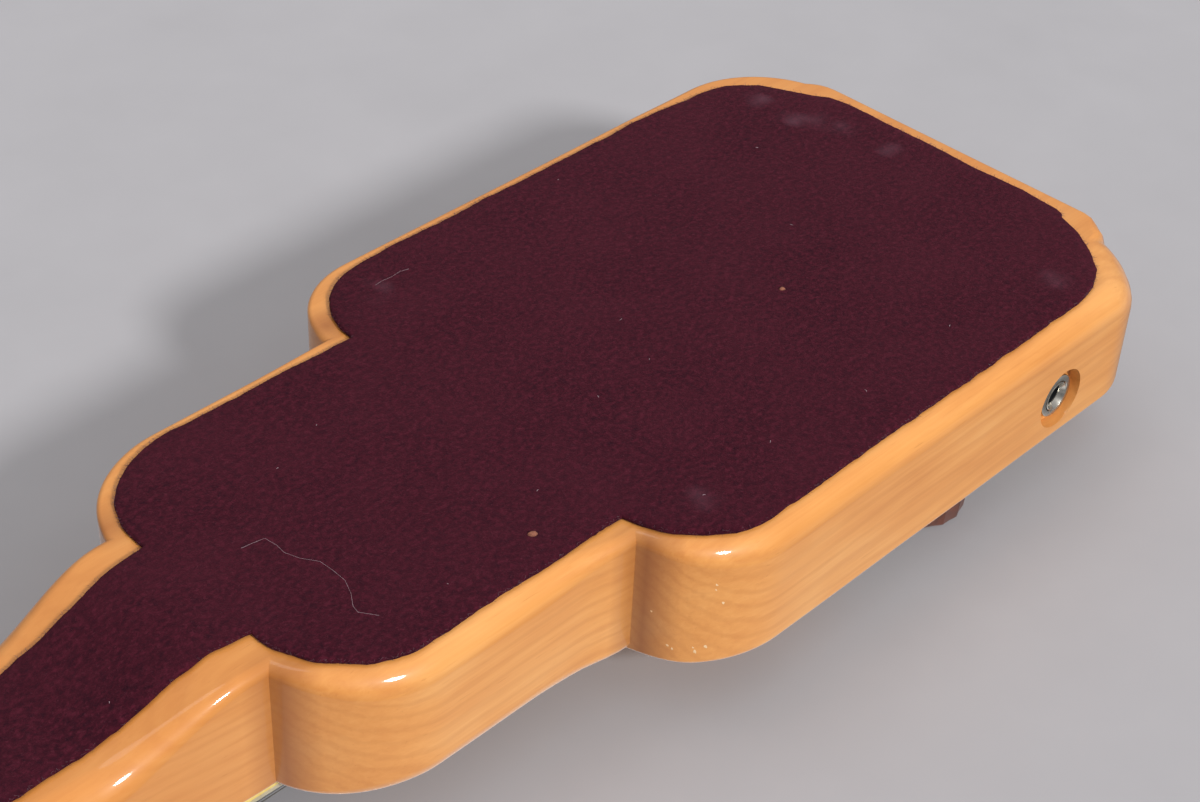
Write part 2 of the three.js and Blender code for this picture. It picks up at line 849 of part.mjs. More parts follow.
// Each string runs from its ball over the saddle and the nut to two turns round its post
function makeString(i) {
  const radius = string_diameters[i] / 2;
  const share = string_shares[i];
  const bass_order = [2, 1, 0];
  const machine = i < 3 ? machines[bass_order[i]] : machines[i];
  const saddle_y = stringY(share, string_spread_at_saddle);
  const nut_y = stringY(share, string_spread_at_nut);
  const hole_z = front_plate + bridge_plate_thickness + anchor_hole_height;
  const ball_x = anchor_x - string_ball_radius - seat_gap;
  const half_nut = nut_thickness / 2;
  const wrap_radius = post_radius + seat_gap + radius;
  const wrap_top = head_front + post_height - post_hole_drop - wrap_pitch;
  const points = [
    new THREE.Vector3(ball_x, saddle_y, hole_z),
    new THREE.Vector3(anchor_x + anchor_wall_thickness + seat_gap, saddle_y, hole_z),
    new THREE.Vector3(along(saddle_from_tail) - saddle_top_radius, saddle_y, string_height),
    new THREE.Vector3(along(saddle_from_tail) + saddle_top_radius, saddle_y, string_height),
    new THREE.Vector3(along(nut_from_tail) - half_nut, nut_y, string_height),
    new THREE.Vector3(along(nut_from_tail) + half_nut + seat_gap, nut_y, string_height),
  ];
  // The string meets the side of the post that faces the middle of the head
  const inner = -machine.side;
  const steps = Math.round(wrap_turns * wrap_steps);
  for (let k = 0; k <= steps; k++) {
    const turn = (2 * Math.PI * k) / wrap_steps;
    points.push(
      new THREE.Vector3(
        machine.x + wrap_radius * Math.sin(turn),
        machine.y + inner * wrap_radius * Math.cos(turn),
        wrap_top - (wrap_pitch * turn) / (2 * Math.PI),
      ),
    );
  }
  const ball = new THREE.SphereGeometry(string_ball_radius, 6, 4).translate(ball_x, saddle_y, hole_z);
  return tube(points, radius).add(solidOf(ball));
}

// Tuning machines: a plate with lugs, a worm on each button's shaft and a wheel on each post
const head_seat = head_back - seat_gap;
const plate_low = head_seat - plate_thickness;
const worm_crest = worm_mean_radius + worm_thread_height;
const gear_high = plate_low - seat_gap - worm_crest + gear_thickness / 2;
const gear_low = gear_high - gear_thickness;
const worm_height = (gear_high + gear_low) / 2;
const worm_half = (worm_turns * worm_lead) / 2;

function lugSpots({ y, side }) {
  const near = worm_half + seat_gap + lug_thickness / 2;
  return [y - side * near, y + side * near];
}

function makePlate({ y }) {
  const own = machines.filter(({ side }) => side === y);
  const x0 = own[0].x - plate_end_margin;
  const x1 = own[2].x + plate_end_margin;
  const middle = own[0].y;
  const half = plate_width / 2;
  const strip = raise(
    roundedRectangle(x0, x1, middle - half, middle + half, half / 2), plate_low, head_seat, 3,
  );
  const lugs = own.flatMap((machine) =>
    lugSpots(machine).map((at) =>
      block(
        machine.x - worm_offset - lug_width / 2, machine.x - worm_offset + lug_width / 2,
        at - lug_thickness / 2, at + lug_thickness / 2, worm_height - lug_reach, head_seat,
      ),
    ),
  );
  const bores = own.flatMap((machine) =>
    lugSpots(machine).map((at) =>
      rodAcross(
        machine.x - worm_offset, at - overrun, at + overrun, worm_height,
        worm_shaft_radius + seat_gap, hole_sides,
      ),
    ),
  );
  const holes = own.map(({ x, y: at }) =>
    post(x, at, plate_low - overrun, head_seat + overrun, post_radius + seat_gap, post_sides),
  );
  return cut(join([strip, ...lugs]), [...bores, ...holes]);
}

function gearPlan(x, y) {
  const root = gear_tip_radius - gear_tooth_depth;
  const shape = new THREE.Shape();
  const pitch = (2 * Math.PI) / gear_teeth;
  for (let tooth = 0; tooth < gear_teeth; tooth++) {
    const middle = Math.PI + pitch * (tooth + 0.5);
    const corners = [
      [root, -gear_root_width / 2],
      [gear_tip_radius, -gear_tip_width / 2],
      [gear_tip_radius, gear_tip_width / 2],
      [root, gear_root_width / 2],
    ];
    corners.forEach(([radius, across], corner) => {
      const angle = middle + across / radius;
      const spot = [x + radius * Math.cos(angle), y + radius * Math.sin(angle)];
      if (tooth === 0 && corner === 0) shape.moveTo(...spot);
      else shape.lineTo(...spot);
    });
  }
  shape.closePath();
  return shape;
}

function makePost({ x, y }) {
  const wheel = raise(gearPlan(x, y), gear_low, gear_high);
  const screw = post(x, y, gear_low - gear_screw_height, gear_low + seat_gap, gear_screw_radius,
    screw_sides);
  const top = head_front + post_height;
  const barrel = post(x, y, gear_high - seat_gap, top, post_radius, post_sides);
  const hole = rodAcross(
    x, y - post_radius - overrun, y + post_radius + overrun, top - post_hole_drop,
    post_hole_radius, 6,
  );
  return cut(join([wheel, screw, barrel]), [hole]);
}

// The worm is an off-centre circle carried round the shaft once for every turn of thread
function makeWorm({ x, y, side }) {
  const [step_count, ring_count] = [worm_steps, worm_sides];
  const positions = [];
  const index = [];
  const total = worm_turns * step_count;
  const axis_x = x - worm_offset;
  for (let s = 0; s <= total; s++) {
    const at = -worm_half + (2 * worm_half * s) / total;
    const lean = (2 * Math.PI * at) / worm_lead + Math.PI / 2;
    for (let i = 0; i < ring_count; i++) {
      const angle = (2 * Math.PI * i) / ring_count;
      positions.push(
        axis_x + worm_thread_height * Math.sin(lean) + worm_mean_radius * Math.sin(angle),
        y + at,
        worm_height + worm_thread_height * Math.cos(lean) + worm_mean_radius * Math.cos(angle),
      );
    }
  }
  for (let s = 0; s < total; s++) {
    for (let i = 0; i < ring_count; i++) {
      const next = (i + 1) % ring_count;
      const [a, b] = [s * ring_count + i, s * ring_count + next];
      index.push(a, b, b + ring_count, a, b + ring_count, a + ring_count);
    }
  }
  const last = total * ring_count;
  for (let i = 1; i + 1 < ring_count; i++) {
    index.push(0, i + 1, i, last, last + i, last + i + 1);
  }
  const geometry = new THREE.BufferGeometry();
  geometry.setAttribute('position', new THREE.Float32BufferAttribute(positions, 3));
  geometry.setIndex(index);
  const inner = y - side * (worm_half + lug_thickness + 2 * seat_gap);
  const outer = buttonStart(side) + side * (button_length / 2);
  const shaft = rodAcross(
    axis_x, Math.min(inner, outer), Math.max(inner, outer), worm_height, worm_shaft_radius, 6,
  );
  return solidOf(geometry).add(shaft);
}

const buttonStart = (side) => side * (head_width / 2 + button_gap_from_head);

function makeButton({ x, side }) {
  const axis_x = x - worm_offset;
  const start = buttonStart(side);
  const oval = new THREE.SphereGeometry(1, 10, 7)
    .scale(button_width / 2, button_length / 2, button_flat / 2)
    .translate(axis_x, start + side * (button_collar_length + button_length / 2), worm_height);
  const collar_end = start + side * (button_collar_length + button_length / 4);
  const collar = rodAcross(
    axis_x, Math.min(start, collar_end), Math.max(start, collar_end), worm_height,
    button_collar_radius, hole_sides,
  );
  const bore_end = start + side * (button_length / 2 + seat_gap);
  const bore_start = start - side * overrun;
  const bore = rodAcross(
    axis_x, Math.min(bore_start, bore_end), Math.max(bore_start, bore_end), worm_height,
    worm_shaft_radius + seat_gap, hole_sides,
  );
  return cut(solidOf(oval).add(collar), [bore]);
}

// Pickup: a cover on a flange, a wound bobbin on a blade and a bar magnet under it
const cover_half = [pickup_cavity_length / 2 - pickup_clear, pickup_cavity_half - pickup_clear];
const cover_top = front_plate + pickup_flange_thickness + pickup_cover_height;
const bobbin_high = cover_top - pickup_cover_wall - seat_gap;
const bobbin_low = bobbin_high - bobbin_height;
const bobbin_half = cover_half.map((half) => half - pickup_cover_wall - pickup_clear);
const core_half = bobbin_half.map((half) => half - coil_thickness - seat_gap);

const pickupPlan = ([hx, hy], radius) =>
  roundedRectangle(pickup_x - hx, pickup_x + hx, -hy, hy, radius);

const blade_half_length = core_half[1] - blade_end_wall;

function bladeSlot(margin, z0, z1) {
  const hx = blade_thickness / 2 + margin;
  const hy = blade_half_length + margin;
  return block(pickup_x - hx, pickup_x + hx, -hy, hy, z0, z1);
}

function makePickupCover() {
  const flange_half = [pickup_cavity_length / 2 + pickup_flange_margin, pickup_flange_half];
  const flange = raise(
    pickupPlan(flange_half, pickup_flange_margin), front_plate, front_plate + pickup_flange_thickness, 4,
  );
  const box = raiseRounded(
    pickupPlan(cover_half, body_edge_radius), front_plate - overrun, cover_top, pickup_cover_wall, 2, 3,
  ).intersect(block(
    pickup_x - overall_length, pickup_x + overall_length, -lower_half, lower_half,
    front_plate, cover_top + overrun,
  ));
  const inner_half = cover_half.map((half) => half - pickup_cover_wall);
  const hollow = raise(
    pickupPlan(inner_half, body_edge_radius - pickup_cover_wall),
    front_plate - overrun, cover_top - pickup_cover_wall, 3,
  );
  const slot = bladeSlot(blade_slot_gap, front_plate, cover_top + overrun);
  const screws = pickupScrewSpots().map(([x, y]) =>
    post(x, y, front_plate - overrun, front_plate + pickup_flange_thickness + overrun,
      screw_shank_radius + seat_gap, hole_sides),
  );
  return cut(flange.add(box), [hollow, slot, ...screws]);
}

function makeBobbin() {
  const low = raise(pickupPlan(bobbin_half, pickup_flange_margin / 2), bobbin_low,
    bobbin_low + bobbin_flange, 3);
  const high = raise(pickupPlan(bobbin_half, pickup_flange_margin / 2),
    bobbin_high - bobbin_flange, bobbin_high, 3);
  const core = raise(pickupPlan(core_half, core_half[0] / 2), bobbin_low, bobbin_high, 3);
  return cut(join([low, core, high]), [
    bladeSlot(seat_gap, bobbin_low - overrun, bobbin_high + overrun),
  ]);
}

function makeCoil() {
  const outer = pickupPlan(core_half.map((half) => half + coil_thickness), pickup_flange_margin);
  const inner = pickupPlan(core_half.map((half) => half + seat_gap), core_half[0] / 2);
  const [z0, z1] = [bobbin_low + bobbin_flange + seat_gap, bobbin_high - bobbin_flange - seat_gap];
  return cut(raise(outer, z0, z1, 5), [raise(inner, z0 - overrun, z1 + overrun, 4)]);
}

function makeScrew([x, y], seat) {
  const high = seat + seat_gap;
  const points = [
    [0, high - screw_length],
    [screw_shank_radius / 2, high - screw_length + screw_tip_length],
    [screw_shank_radius, high - screw_length + screw_taper_length],
    [screw_shank_radius, high],
    ...screw_head_shares.map(([r, z]) => [r * screw_head_radius, high + z * screw_head_height]),
  ].map(([r, z]) => new THREE.Vector2(r, z));
  const turned = new THREE.LatheGeometry(points, screw_sides).rotateX(Math.PI / 2).translate(x, y, 0);
  const slot = block(
    x - screw_head_radius - overrun, x + screw_head_radius + overrun,
    y - screw_slot_width / 2, y + screw_slot_width / 2,
    high + screw_head_height - screw_slot_depth, high + screw_head_height + overrun,
  );
  return cut(solidOf(turned), [slot]);
}

// Volume control on a plate along the treble side
const control_plate_top = front_plate + control_plate_thickness;

function makeControlPlate() {
  const plate = raise(
    roundedRectangle(
      along(control_span[0]) - 2 * screw_from_edge, along(control_span[1]) + 2 * screw_from_edge,
      control_front[0] - control_plate_margin, plate_inner_side, control_plate_corner,
    ),
    front_plate, control_plate_top, 4,
  );
  const hole = post(volume_x, control_y, front_plate - overrun, control_plate_top + overrun,
    pot_bushing_radius + seat_gap);
  const screws = plateScrewSpots().map(([x, y]) =>
    post(x, y, front_plate - overrun, control_plate_top + overrun,
      screw_shank_radius + seat_gap, hole_sides),
  );
  return cut(plate, [hole, ...screws]);
}

const can_high = front_plate - seat_gap;
const can_low = can_high - pot_can_height;
const shaft_low = can_high - pot_can_height / 2;

function makePot() {
  const can = post(volume_x, control_y, can_low, can_high, pot_radius, 20);
  const bushing = post(volume_x, control_y, can_high - seat_gap, front_plate + pot_bushing_height,
    pot_bushing_radius);
  const tag_half = inStrip('pot_tag_width') / 2;
  const tags = [-1, 0, 1].map((n) => {
    const middle = control_y + n * pot_tag_pitch;
    const start = volume_x + pot_radius - overrun;
    return block(start, start + overrun + pot_tag_length, middle - tag_half, middle + tag_half,
      can_low + pot_tag_thickness, can_low + 2 * pot_tag_thickness);
  });
  const bore = post(volume_x, control_y, shaft_low - seat_gap, front_plate + pot_bushing_height + overrun,
    pot_shaft_radius + seat_gap);
  return cut(join([can, bushing, ...tags]), [bore]);
}

const shaft_high = control_plate_top + pot_shaft_reach;

function makePotNut() {
  const low = control_plate_top + seat_gap;
  const across = inStrip('pot_nut_across') / Math.sqrt(3);
  const hexagon = post(volume_x, control_y, low, low + pot_nut_height, across, 6);
  const bore = post(volume_x, control_y, low - overrun, low + pot_nut_height + overrun,
    pot_bushing_radius + seat_gap);
  return cut(hexagon, [bore]);
}

const knob_low = control_plate_top + knob_lift;
const knob_high = knob_low + knob_height;

// Scalloped knob with sharp ridges, a little wider at its base
function makeKnob() {
  const x = volume_x;
  const rim = new THREE.Shape();
  const steps = knob_flutes * knob_steps_per_flute;
  for (let i = 0; i < steps; i++) {
    const angle = (2 * Math.PI * i) / steps;
    const dip = Math.abs(Math.sin((angle * knob_flutes) / 2));
    const radius = knob_radius - knob_flute_depth * dip;
    const spot = [x + radius * Math.cos(angle), control_y + radius * Math.sin(angle)];
    if (i === 0) rim.moveTo(...spot);
    else rim.lineTo(...spot);
  }
  rim.closePath();
  const crown = raiseRounded(rim, knob_low - knob_crown, knob_high, knob_crown, 2).intersect(
    block(x - knob_radius - overrun, x + knob_radius + overrun, control_y - knob_radius - overrun,
      control_y + knob_radius + overrun, knob_low, knob_high + overrun),
  ).warp((corner) => {
    const below_top = (knob_high - corner[2]) / knob_height;
    const scale = 1 + (below_top * inStrip('knob_base_spread')) / knob_radius;
    corner[0] = x + (corner[0] - x) * scale;
    corner[1] = control_y + (corner[1] - control_y) * scale;
  });
  const pointer = block(x - knob_pointer_width / 2, x + knob_pointer_width / 2, control_y,
    control_y + knob_radius - knob_crown - knob_flute_depth, knob_high - knob_pointer_height,
    knob_high + knob_pointer_height);
  const recess = post(x, control_y, knob_low - overrun, knob_low + knob_recess_depth,
    inStrip('knob_recess_radius'));
  const bore = post(x, control_y, knob_low, shaft_high + seat_gap, pot_shaft_radius + seat_gap);
  return cut(crown.add(pointer), [recess, bore]);
}

// Output jack: bushing and frame in one, nut outside, spring contact on an insulator
const jack_inner = control_front[0] + seat_gap;
const jack_outer = recess_floor - seat_gap - jack_nut_thickness - jack_proud;
const arm_height = jack_height + jack_arm_offset;

function makeJackFrame() {
  const barrel = rodAcross(jack_x, jack_outer, jack_inner + seat_gap, jack_height,
    jack_bushing_radius);
  const flange = rodAcross(jack_x, jack_inner, jack_inner + jack_flange_thickness, jack_height,
    jack_flange_radius);
  const arm = block(
    jack_x - jack_arm_width / 2, jack_x + jack_arm_width / 2, jack_inner,
    jack_inner + jack_arm_length, arm_height - jack_arm_thickness, arm_height,
  );
  const bore = rodAcross(jack_x, jack_outer - overrun, jack_inner + jack_flange_thickness + overrun,
    jack_height, jack_bore_radius);
  return cut(join([barrel, flange, arm]), [bore]);
}

function makeJackNut() {
  const outer = recess_floor - seat_gap - jack_nut_thickness;
  const ring = rodAcross(jack_x, outer, recess_floor - seat_gap, jack_height, jack_nut_radius, 24);
  const bore = rodAcross(jack_x, outer - overrun, recess_floor + overrun, jack_height,
    jack_bushing_radius + seat_gap);
  return cut(ring, [bore]);
}

const insulator_end = jack_inner + jack_arm_length;
const insulator_low = arm_height + seat_gap;

function makeInsulator() {
  return block(
    jack_x - jack_arm_width / 2, jack_x + jack_arm_width / 2, insulator_end - insulator_length,
    insulator_end, insulator_low, insulator_low + insulator_height,
  );
}

// The contact leaves the insulator, runs inwards and turns down to the plug's tip
function makeTipSpring() {
  const start = insulator_end - insulator_length;
  const low = insulator_low + insulator_height + seat_gap;
  const thick = tip_spring_thickness;
  const end = start + inStrip('tip_spring_length') - tip_spring_hook;
  const drop = low - jack_height - jack_bore_radius + seat_gap;
  const profile = [
    [start, low],
    [end - thick, low],
    [end - thick, low - drop],
    [end - thick + tip_spring_hook / 2, low - drop - tip_spring_hook / 2],
    [end + tip_spring_hook, low - drop + tip_spring_hook / 2],
    [end + tip_spring_hook, low - drop + tip_spring_hook / 2 + thick],
    [end + tip_spring_hook / 2, low - drop - tip_spring_hook / 2 + 2 * thick],
    [end, low - drop + thick],
    [end, low + thick],
    [start, low + thick],
  ];
  const shape = new THREE.Shape(profile.map(([y, z]) => new THREE.Vector2(y, z)));
  const geometry = new THREE.ExtrudeGeometry(shape, { depth: tip_spring_width, bevelEnabled: false });
  geometry.rotateX(Math.PI / 2).rotateZ(Math.PI / 2);
  return solidOf(geometry.translate(jack_x - tip_spring_width / 2, 0, 0));
}

// Leads pass from the coil through the channel to the volume control, and on to the jack
function makePickupLead() {
  const y0 = -core_half[1] - coil_thickness;
  const z = body_thickness - wire_channel_depth + wire_lift;
  const end_x = volume_x + pot_radius + pot_tag_length + seat_gap + wire_radius;
  const points = [
    new THREE.Vector3(lead_x, y0 - seat_gap - wire_radius, z),
    new THREE.Vector3(lead_x, (y0 + control_front[1]) / 2 - wire_radius, z),
    new THREE.Vector3(lead_x, control_front[1] - wire_radius, z - wire_radius),
    new THREE.Vector3(end_x + wire_radius, control_y + pot_tag_pitch * 1.5, z - wire_lift),
    new THREE.Vector3(end_x, control_y + pot_tag_pitch, can_low + pot_tag_thickness),
  ];
  return tube(points, wire_radius);
}

function makeJackLead() {
  const x0 = jack_x + jack_arm_width / 2 + seat_gap + wire_radius;
  const x1 = volume_x - pot_radius - seat_gap - wire_radius;
  const y = insulator_end - insulator_length / 2;
  const third = (x1 - x0) / 3;
  const points = [
    new THREE.Vector3(x0, y, insulator_low + insulator_height / 2),
    new THREE.Vector3(x0 + third, y, insulator_low - wire_lift),
    new THREE.Vector3(x1 - third, (y + control_y) / 2, can_low - wire_lift),
    new THREE.Vector3(x1, control_y, can_low + wire_radius),
  ];
  return tube(points, wire_radius);
}

// Assembly
place('wood_body', makeWood(), maple);
place('felt_backing', makeFelt(), felt);
place('fretboard_core', raise(boardPlan(0), board_bottom, board_bottom + board_core_thickness),
  aged_cream);
place('fretboard_face', makeBoardFace(), black_laminate);
place('string_nut', makeNut(), bone);
string_shares.forEach((share, i) => place(`string_${i + 1}`, makeString(i), steel));

place('bridge_base', makeBridge(), nickel);
place('bridge_saddle', makeSaddle(), nickel);
bridgeScrewSpots().forEach((spot, i) =>
  place(`bridge_screw_${i + 1}`, makeScrew(spot, front_plate + bridge_plate_thickness), steel),
);

place('pickup_cover', makePickupCover(), nickel);
place('pickup_bobbin', makeBobbin(), black_plastic);
place('pickup_coil', makeCoil(), copper_wire);
place('pickup_blade', bladeSlot(0, bobbin_low, cover_top), steel);
place('pickup_magnet', block(
  pickup_x - magnet_width / 2, pickup_x + magnet_width / 2, -blade_half_length, blade_half_length,
  bobbin_low - seat_gap - magnet_thickness, bobbin_low - seat_gap,
), magnet_grey);
pickupScrewSpots().forEach((spot, i) =>
  place(`pickup_screw_${i + 1}`, makeScrew(spot, front_plate + pickup_flange_thickness), steel),
);

place('control_plate', makeControlPlate(), nickel);
plateScrewSpots().forEach((spot, i) =>
  place(`control_plate_screw_${i + 1}`, makeScrew(spot, control_plate_top), steel),
);
place('volume_pot_case', makePot(), steel);
place('volume_pot_shaft', post(volume_x, control_y, shaft_low, shaft_high, pot_shaft_radius), steel);
place('volume_pot_nut', makePotNut(), nickel);
place('volume_knob', makeKnob(), brown_plastic);

place('jack_frame', makeJackFrame(), nickel);
place('jack_nut', makeJackNut(), nickel);
place('jack_insulator', makeInsulator(), fibre);
place('jack_tip_spring', makeTipSpring(), steel);
place('pickup_lead', makePickupLead(), cloth_wire);
place('jack_lead', makeJackLead(), cloth_wire);

for (const side of sides) place(`${side.name}_tuner_plate`, makePlate(side), nickel);
for (const machine of machines) {
  place(`tuner_post_${machine.number}`, makePost(machine), nickel);
  place(`tuner_worm_${machine.number}`, makeWorm(machine), steel);
  place(`tuner_button_${machine.number}`, makeButton(machine), aged_cream);
}

export default guitar;
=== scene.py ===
import math
import random

import bpy
from mathutils import Matrix, Vector, noise
from mathutils.geometry import delaunay_2d_cdt


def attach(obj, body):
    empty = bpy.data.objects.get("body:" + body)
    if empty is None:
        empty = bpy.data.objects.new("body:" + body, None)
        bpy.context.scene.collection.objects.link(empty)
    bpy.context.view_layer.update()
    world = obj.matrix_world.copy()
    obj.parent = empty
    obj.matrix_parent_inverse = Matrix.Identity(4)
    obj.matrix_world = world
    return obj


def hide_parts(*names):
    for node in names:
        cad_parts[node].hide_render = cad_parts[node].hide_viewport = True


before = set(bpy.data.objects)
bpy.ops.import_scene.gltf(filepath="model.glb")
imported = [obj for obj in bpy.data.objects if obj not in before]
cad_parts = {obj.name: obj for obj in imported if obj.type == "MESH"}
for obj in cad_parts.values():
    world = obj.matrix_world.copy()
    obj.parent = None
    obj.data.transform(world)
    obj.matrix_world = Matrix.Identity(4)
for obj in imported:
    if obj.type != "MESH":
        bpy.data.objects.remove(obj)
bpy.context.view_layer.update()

bl_info = {
    "name": "Lap steel guitar",
    "version": (1, 0, 0),
    "blender": (4, 5, 0),
    "location": "View3D > Sidebar > Lap steel",
    "description": "Builds the looks of a lap steel guitar with a felt back",
    "category": "Add Mesh",
}

MM = 0.001
FULL_TURN = 2 * math.pi
HALF_TURN = math.pi
QUARTER_TURN = math.pi / 2

# Sizes in millimetres. Stations run along the length from the tail, heights from the felt's face.
OVERALL_LENGTH = 780.0


def along(station):
    """The X place in millimetres of a station measured from the tail."""
    return station - OVERALL_LENGTH / 2


LOWER_HALF = 83.5
LOWER_END = 215.5
LOWER_ARC = 35.0
LOWER_BASS_ARC = 28.5
TREBLE_CORNER = 27.0
BASS_CORNER = 34.0
TAIL_STEP = 2.5
MIDDLE_HALF = 57.5
MIDDLE_END = 310.0
MIDDLE_ARC = 35.0
WOOD_BACK = 2.0
WOOD_FRONT = 42.0
# Rounded edges: steps in a quarter turn, the length over which they vary, the share that the
# bass side's has of the treble side's, and where the treble tail corner begins to be worn
EDGE_STEPS = 8
EDGE_WANDER = 38.0
BASS_SHARE = 0.28
WORN_START = 57.0
WORN_RUN = 5.0
CREASE_SHARE = 0.42
CREASE_REACH = 34.0
OUTLINE_STEP = 4.0
FELT_INSET = 5.0
FELT_BASS_ARC = 27.0
# How the felt was cut round its two tail corners, as station and distance from the middle
FELT_TREBLE_CORNER = ((7.4, 20), (7.5, 32), (8.2, 44.5), (8.9, 46.9), (10.6, 48.4), (11.3, 51),
                      (13.8, 57), (19.2, 64.7), (26, 71.2), (34, 75.4), (44, 77.3), (54, 77.7),
                      (70, 78.1), (90, 78.5))
FELT_BASS_CORNER = ((7.2, 20), (7.4, 38), (8.5, 46.4), (11.6, 51.2), (14.6, 56.4), (17, 61.8),
                    (20, 66.9), (24, 71.2), (28.5, 74.6), (35, 76.4), (42, 77.4), (52, 78.3),
                    (70, 79), (90, 78.7))
FELT_STRIP_HALF = 17.5
FELT_NOTCH_HALF = 21.0
HEEL_START = 313.0
HEEL_LENGTH = 42.0
HEEL_RISE = 10.5
NUT = 633.5
SADDLE = 62.0
BRIDGE_WALL = 40.0
BOARD_TAIL = 192.0
BOARD_HALVES = (31.5, 23.0)
BOARD_TOP = 47.5
STRING_HEIGHT = 56.5
STRING_DIAMETERS = (0.95, 0.8, 0.65, 0.5, 0.42, 0.34)
STRING_SHARES = (0.5, 0.3, 0.1, -0.1, -0.3, -0.5)
SPREAD_AT_SADDLE = 53.0
SPREAD_AT_NUT = 38.0
# The headstock: its start, bend and shoulder from the nut, its half widths and its blunt tip
HEAD_FRONT = 34.0
HEAD_BACK = 19.0
HEAD_START = 8.0
HEAD_BEND = 21.0
HEAD_SHOULDER = 34.0
HEAD_START_HALF = 24.0
HEAD_HALF = 35.0
HEAD_TIP_HALF = 32.0
HEAD_TIP_ROUND = 17.0
FIRST_POST = 667.5
POST_PITCH = 38.0
POST_SIDE = 19.0
POST_RADIUS = 3.0
POST_TOP = 45.0
WORM_OFFSET = 7.85
WORM_HEIGHT = 14.5
BUTTON_START = 41.0
BUTTON_HALVES = (7.0, 7.5, 4.0)
BUTTON_FLATNESS = 0.85
PICKUP = 112.0
CONTROL_Y = -61.0
VOLUME = 87.5
KNOB_SEAT = 44.6
KNOB_HEIGHT = 16.5
KNOB_RADIUS = 13.9
KNOB_FLARE = 1.3
KNOB_FLUTES = 15
KNOB_FLUTE_DEPTH = 0.5
CONTROL_SPAN = (42.0, 130.0)
JACK = 54.2
JACK_HEIGHT = 27.6
JACK_HOLE_RADIUS = 5.05
RECESS_FLOOR = -79.5
RECESS_RADIUS = 9.7
# Cavities cut into the playing side, as ends along X, ends along Y and the height of the floor
PICKUP_CAVITY = (along(97), along(127), -36, 36, 22)
CONTROL_CAVITY = (*map(along, CONTROL_SPAN), -73, -49, 12)
LEAD_CHANNEL = (along(115.4), along(123.4), -51, -34, 30, 38)
POST_HOLE_RADIUS = 3.3
SCREW_HOLE_RADIUS = 1.8
# Loose fibres at the felt's edge, specks and hairs on it, and patches of its nap rubbed pale as
# X, Y and size
FIBRE_COUNT = 2600
SPECK_COUNT = 30
HAIRS = (((-101.8, 3.5), (-104.9, 3.1), (-108.4, 2.4), (-108.9, -1.7), (-108.5, -4.9),
          (-110.0, -9.3), (-112.8, -13.5), (-113.0, -18.2), (-112.8, -22.9), (-110.8, -27.4),
          (-108.2, -31.2), (-107.7, -33.6), (-110.6, -37.9)),
         ((-200.6, 66.0), (-203.5, 66.3), (-207.0, 66.0), (-210.5, 66.4), (-213.2, 65.6)))
RUBBED_SHARE = 0.4
RUBBED = ((-362.4, 60.1, 3.2), (-366.1, 39.8, 3.2), (-361.5, 45.0, 2.8), (-369.8, 31.0, 2.6),
          (-369.8, 11.7, 2.6), (-349.4, -67.2, 3.0), (-198.9, 64.2, 3.0), (-199.2, -61.6, 2.6))
# Chips in the lacquer of the treble side's wall as X, Y, Z and size
CHIPS = ((-181.4, -69.3, 35.8, 0.5), (-182.2, -70.4, 36.7, 0.6), (-186.4, -74.8, 37.1, 0.9),
         (-185.9, -74.4, 35.6, 0.4), (-188.6, -76.5, 35.5, 0.8), (-189.7, -77.3, 13.8, 0.6),
         (-189.6, -77.3, 15.5, 0.4), (-191.4, -78.5, 20.4, 0.7), (-178.7, -65.1, 25.5, 0.4))
# Where the walls of the bouts and the neck meet in a sharp inward corner
CREASES = ((-178.0, 59.0), (-81.0, 32.0))


def smooth(t):
    """Eases from 0 to 1 and holds at both ends."""
    held = min(max(t, 0.0), 1.0)
    return held * held * (3 - 2 * held)


def heel_rise(station):
    """How far the back of the heel and neck has risen at a station."""
    return HEEL_RISE * smooth((station - HEEL_START) / HEEL_LENGTH)


def board_half(station):
    """Half the fretboard's width at a station."""
    share = (NUT - station) / (NUT - BOARD_TAIL)
    return BOARD_HALVES[1] + share * (BOARD_HALVES[0] - BOARD_HALVES[1])


def neck_half(station):
    """Half the neck's width, which flares where it leaves the body."""
    return board_half(station) + 0.5 + 2.2 * (1 - smooth((station - MIDDLE_END) / HEEL_LENGTH))


# Colours and materials
def linear(code):
    """An sRGB hex colour as linear RGBA."""
    values = [int(code[i:i + 2], 16) / 255 for i in (1, 3, 5)]
    return [v / 12.92 if v <= 0.04045 else ((v + 0.055) / 1.055) ** 2.4 for v in values] + [1.0]


def per_mm(x, y, z):
    """A mapping scale that makes one unit of a pattern this many millimetres along each axis."""
    return (1 / (x * MM), 1 / (y * MM), 1 / (z * MM))


def add_node(tree, kind, inputs=(), settings=(), stops=()):
    """Adds one node with its settings and, for a ramp, its stops as place and hex colour.

    Inputs come in the node's own order or keyed, each a value, a hex colour or a socket to link.
    """
    node = tree.nodes.new("ShaderNode" + kind)
    for name, value in dict(settings).items():
        setattr(node, name, value)
    for key, value in inputs.items() if isinstance(inputs, dict) else enumerate(inputs):
        if isinstance(value, bpy.types.NodeSocket):
            tree.links.new(value, node.inputs[key])
        else:
            node.inputs[key].default_value = linear(value) if isinstance(value, str) else value
    for i, (place, code) in enumerate(stops):
        elements = node.color_ramp.elements
        element = elements[i] if i < 2 else elements.new(place)
        element.position = place
        element.color = linear(code)
    return node


def new_material(name):
    """An empty material, its node tree and the object's own coordinates."""
    material = bpy.data.materials.new(name)
    material.use_nodes = True
    tree = material.node_tree
    tree.nodes.clear()
    return material, tree, add_node(tree, "TexCoord").outputs["Object"]


def surface(tree, inputs):
    """Ends a material with the Principled shader; constant values sit on its own sockets."""
    shader = add_node(tree, "BsdfPrincipled", inputs)
    add_node(tree, "OutputMaterial", [shader.outputs["BSDF"]])


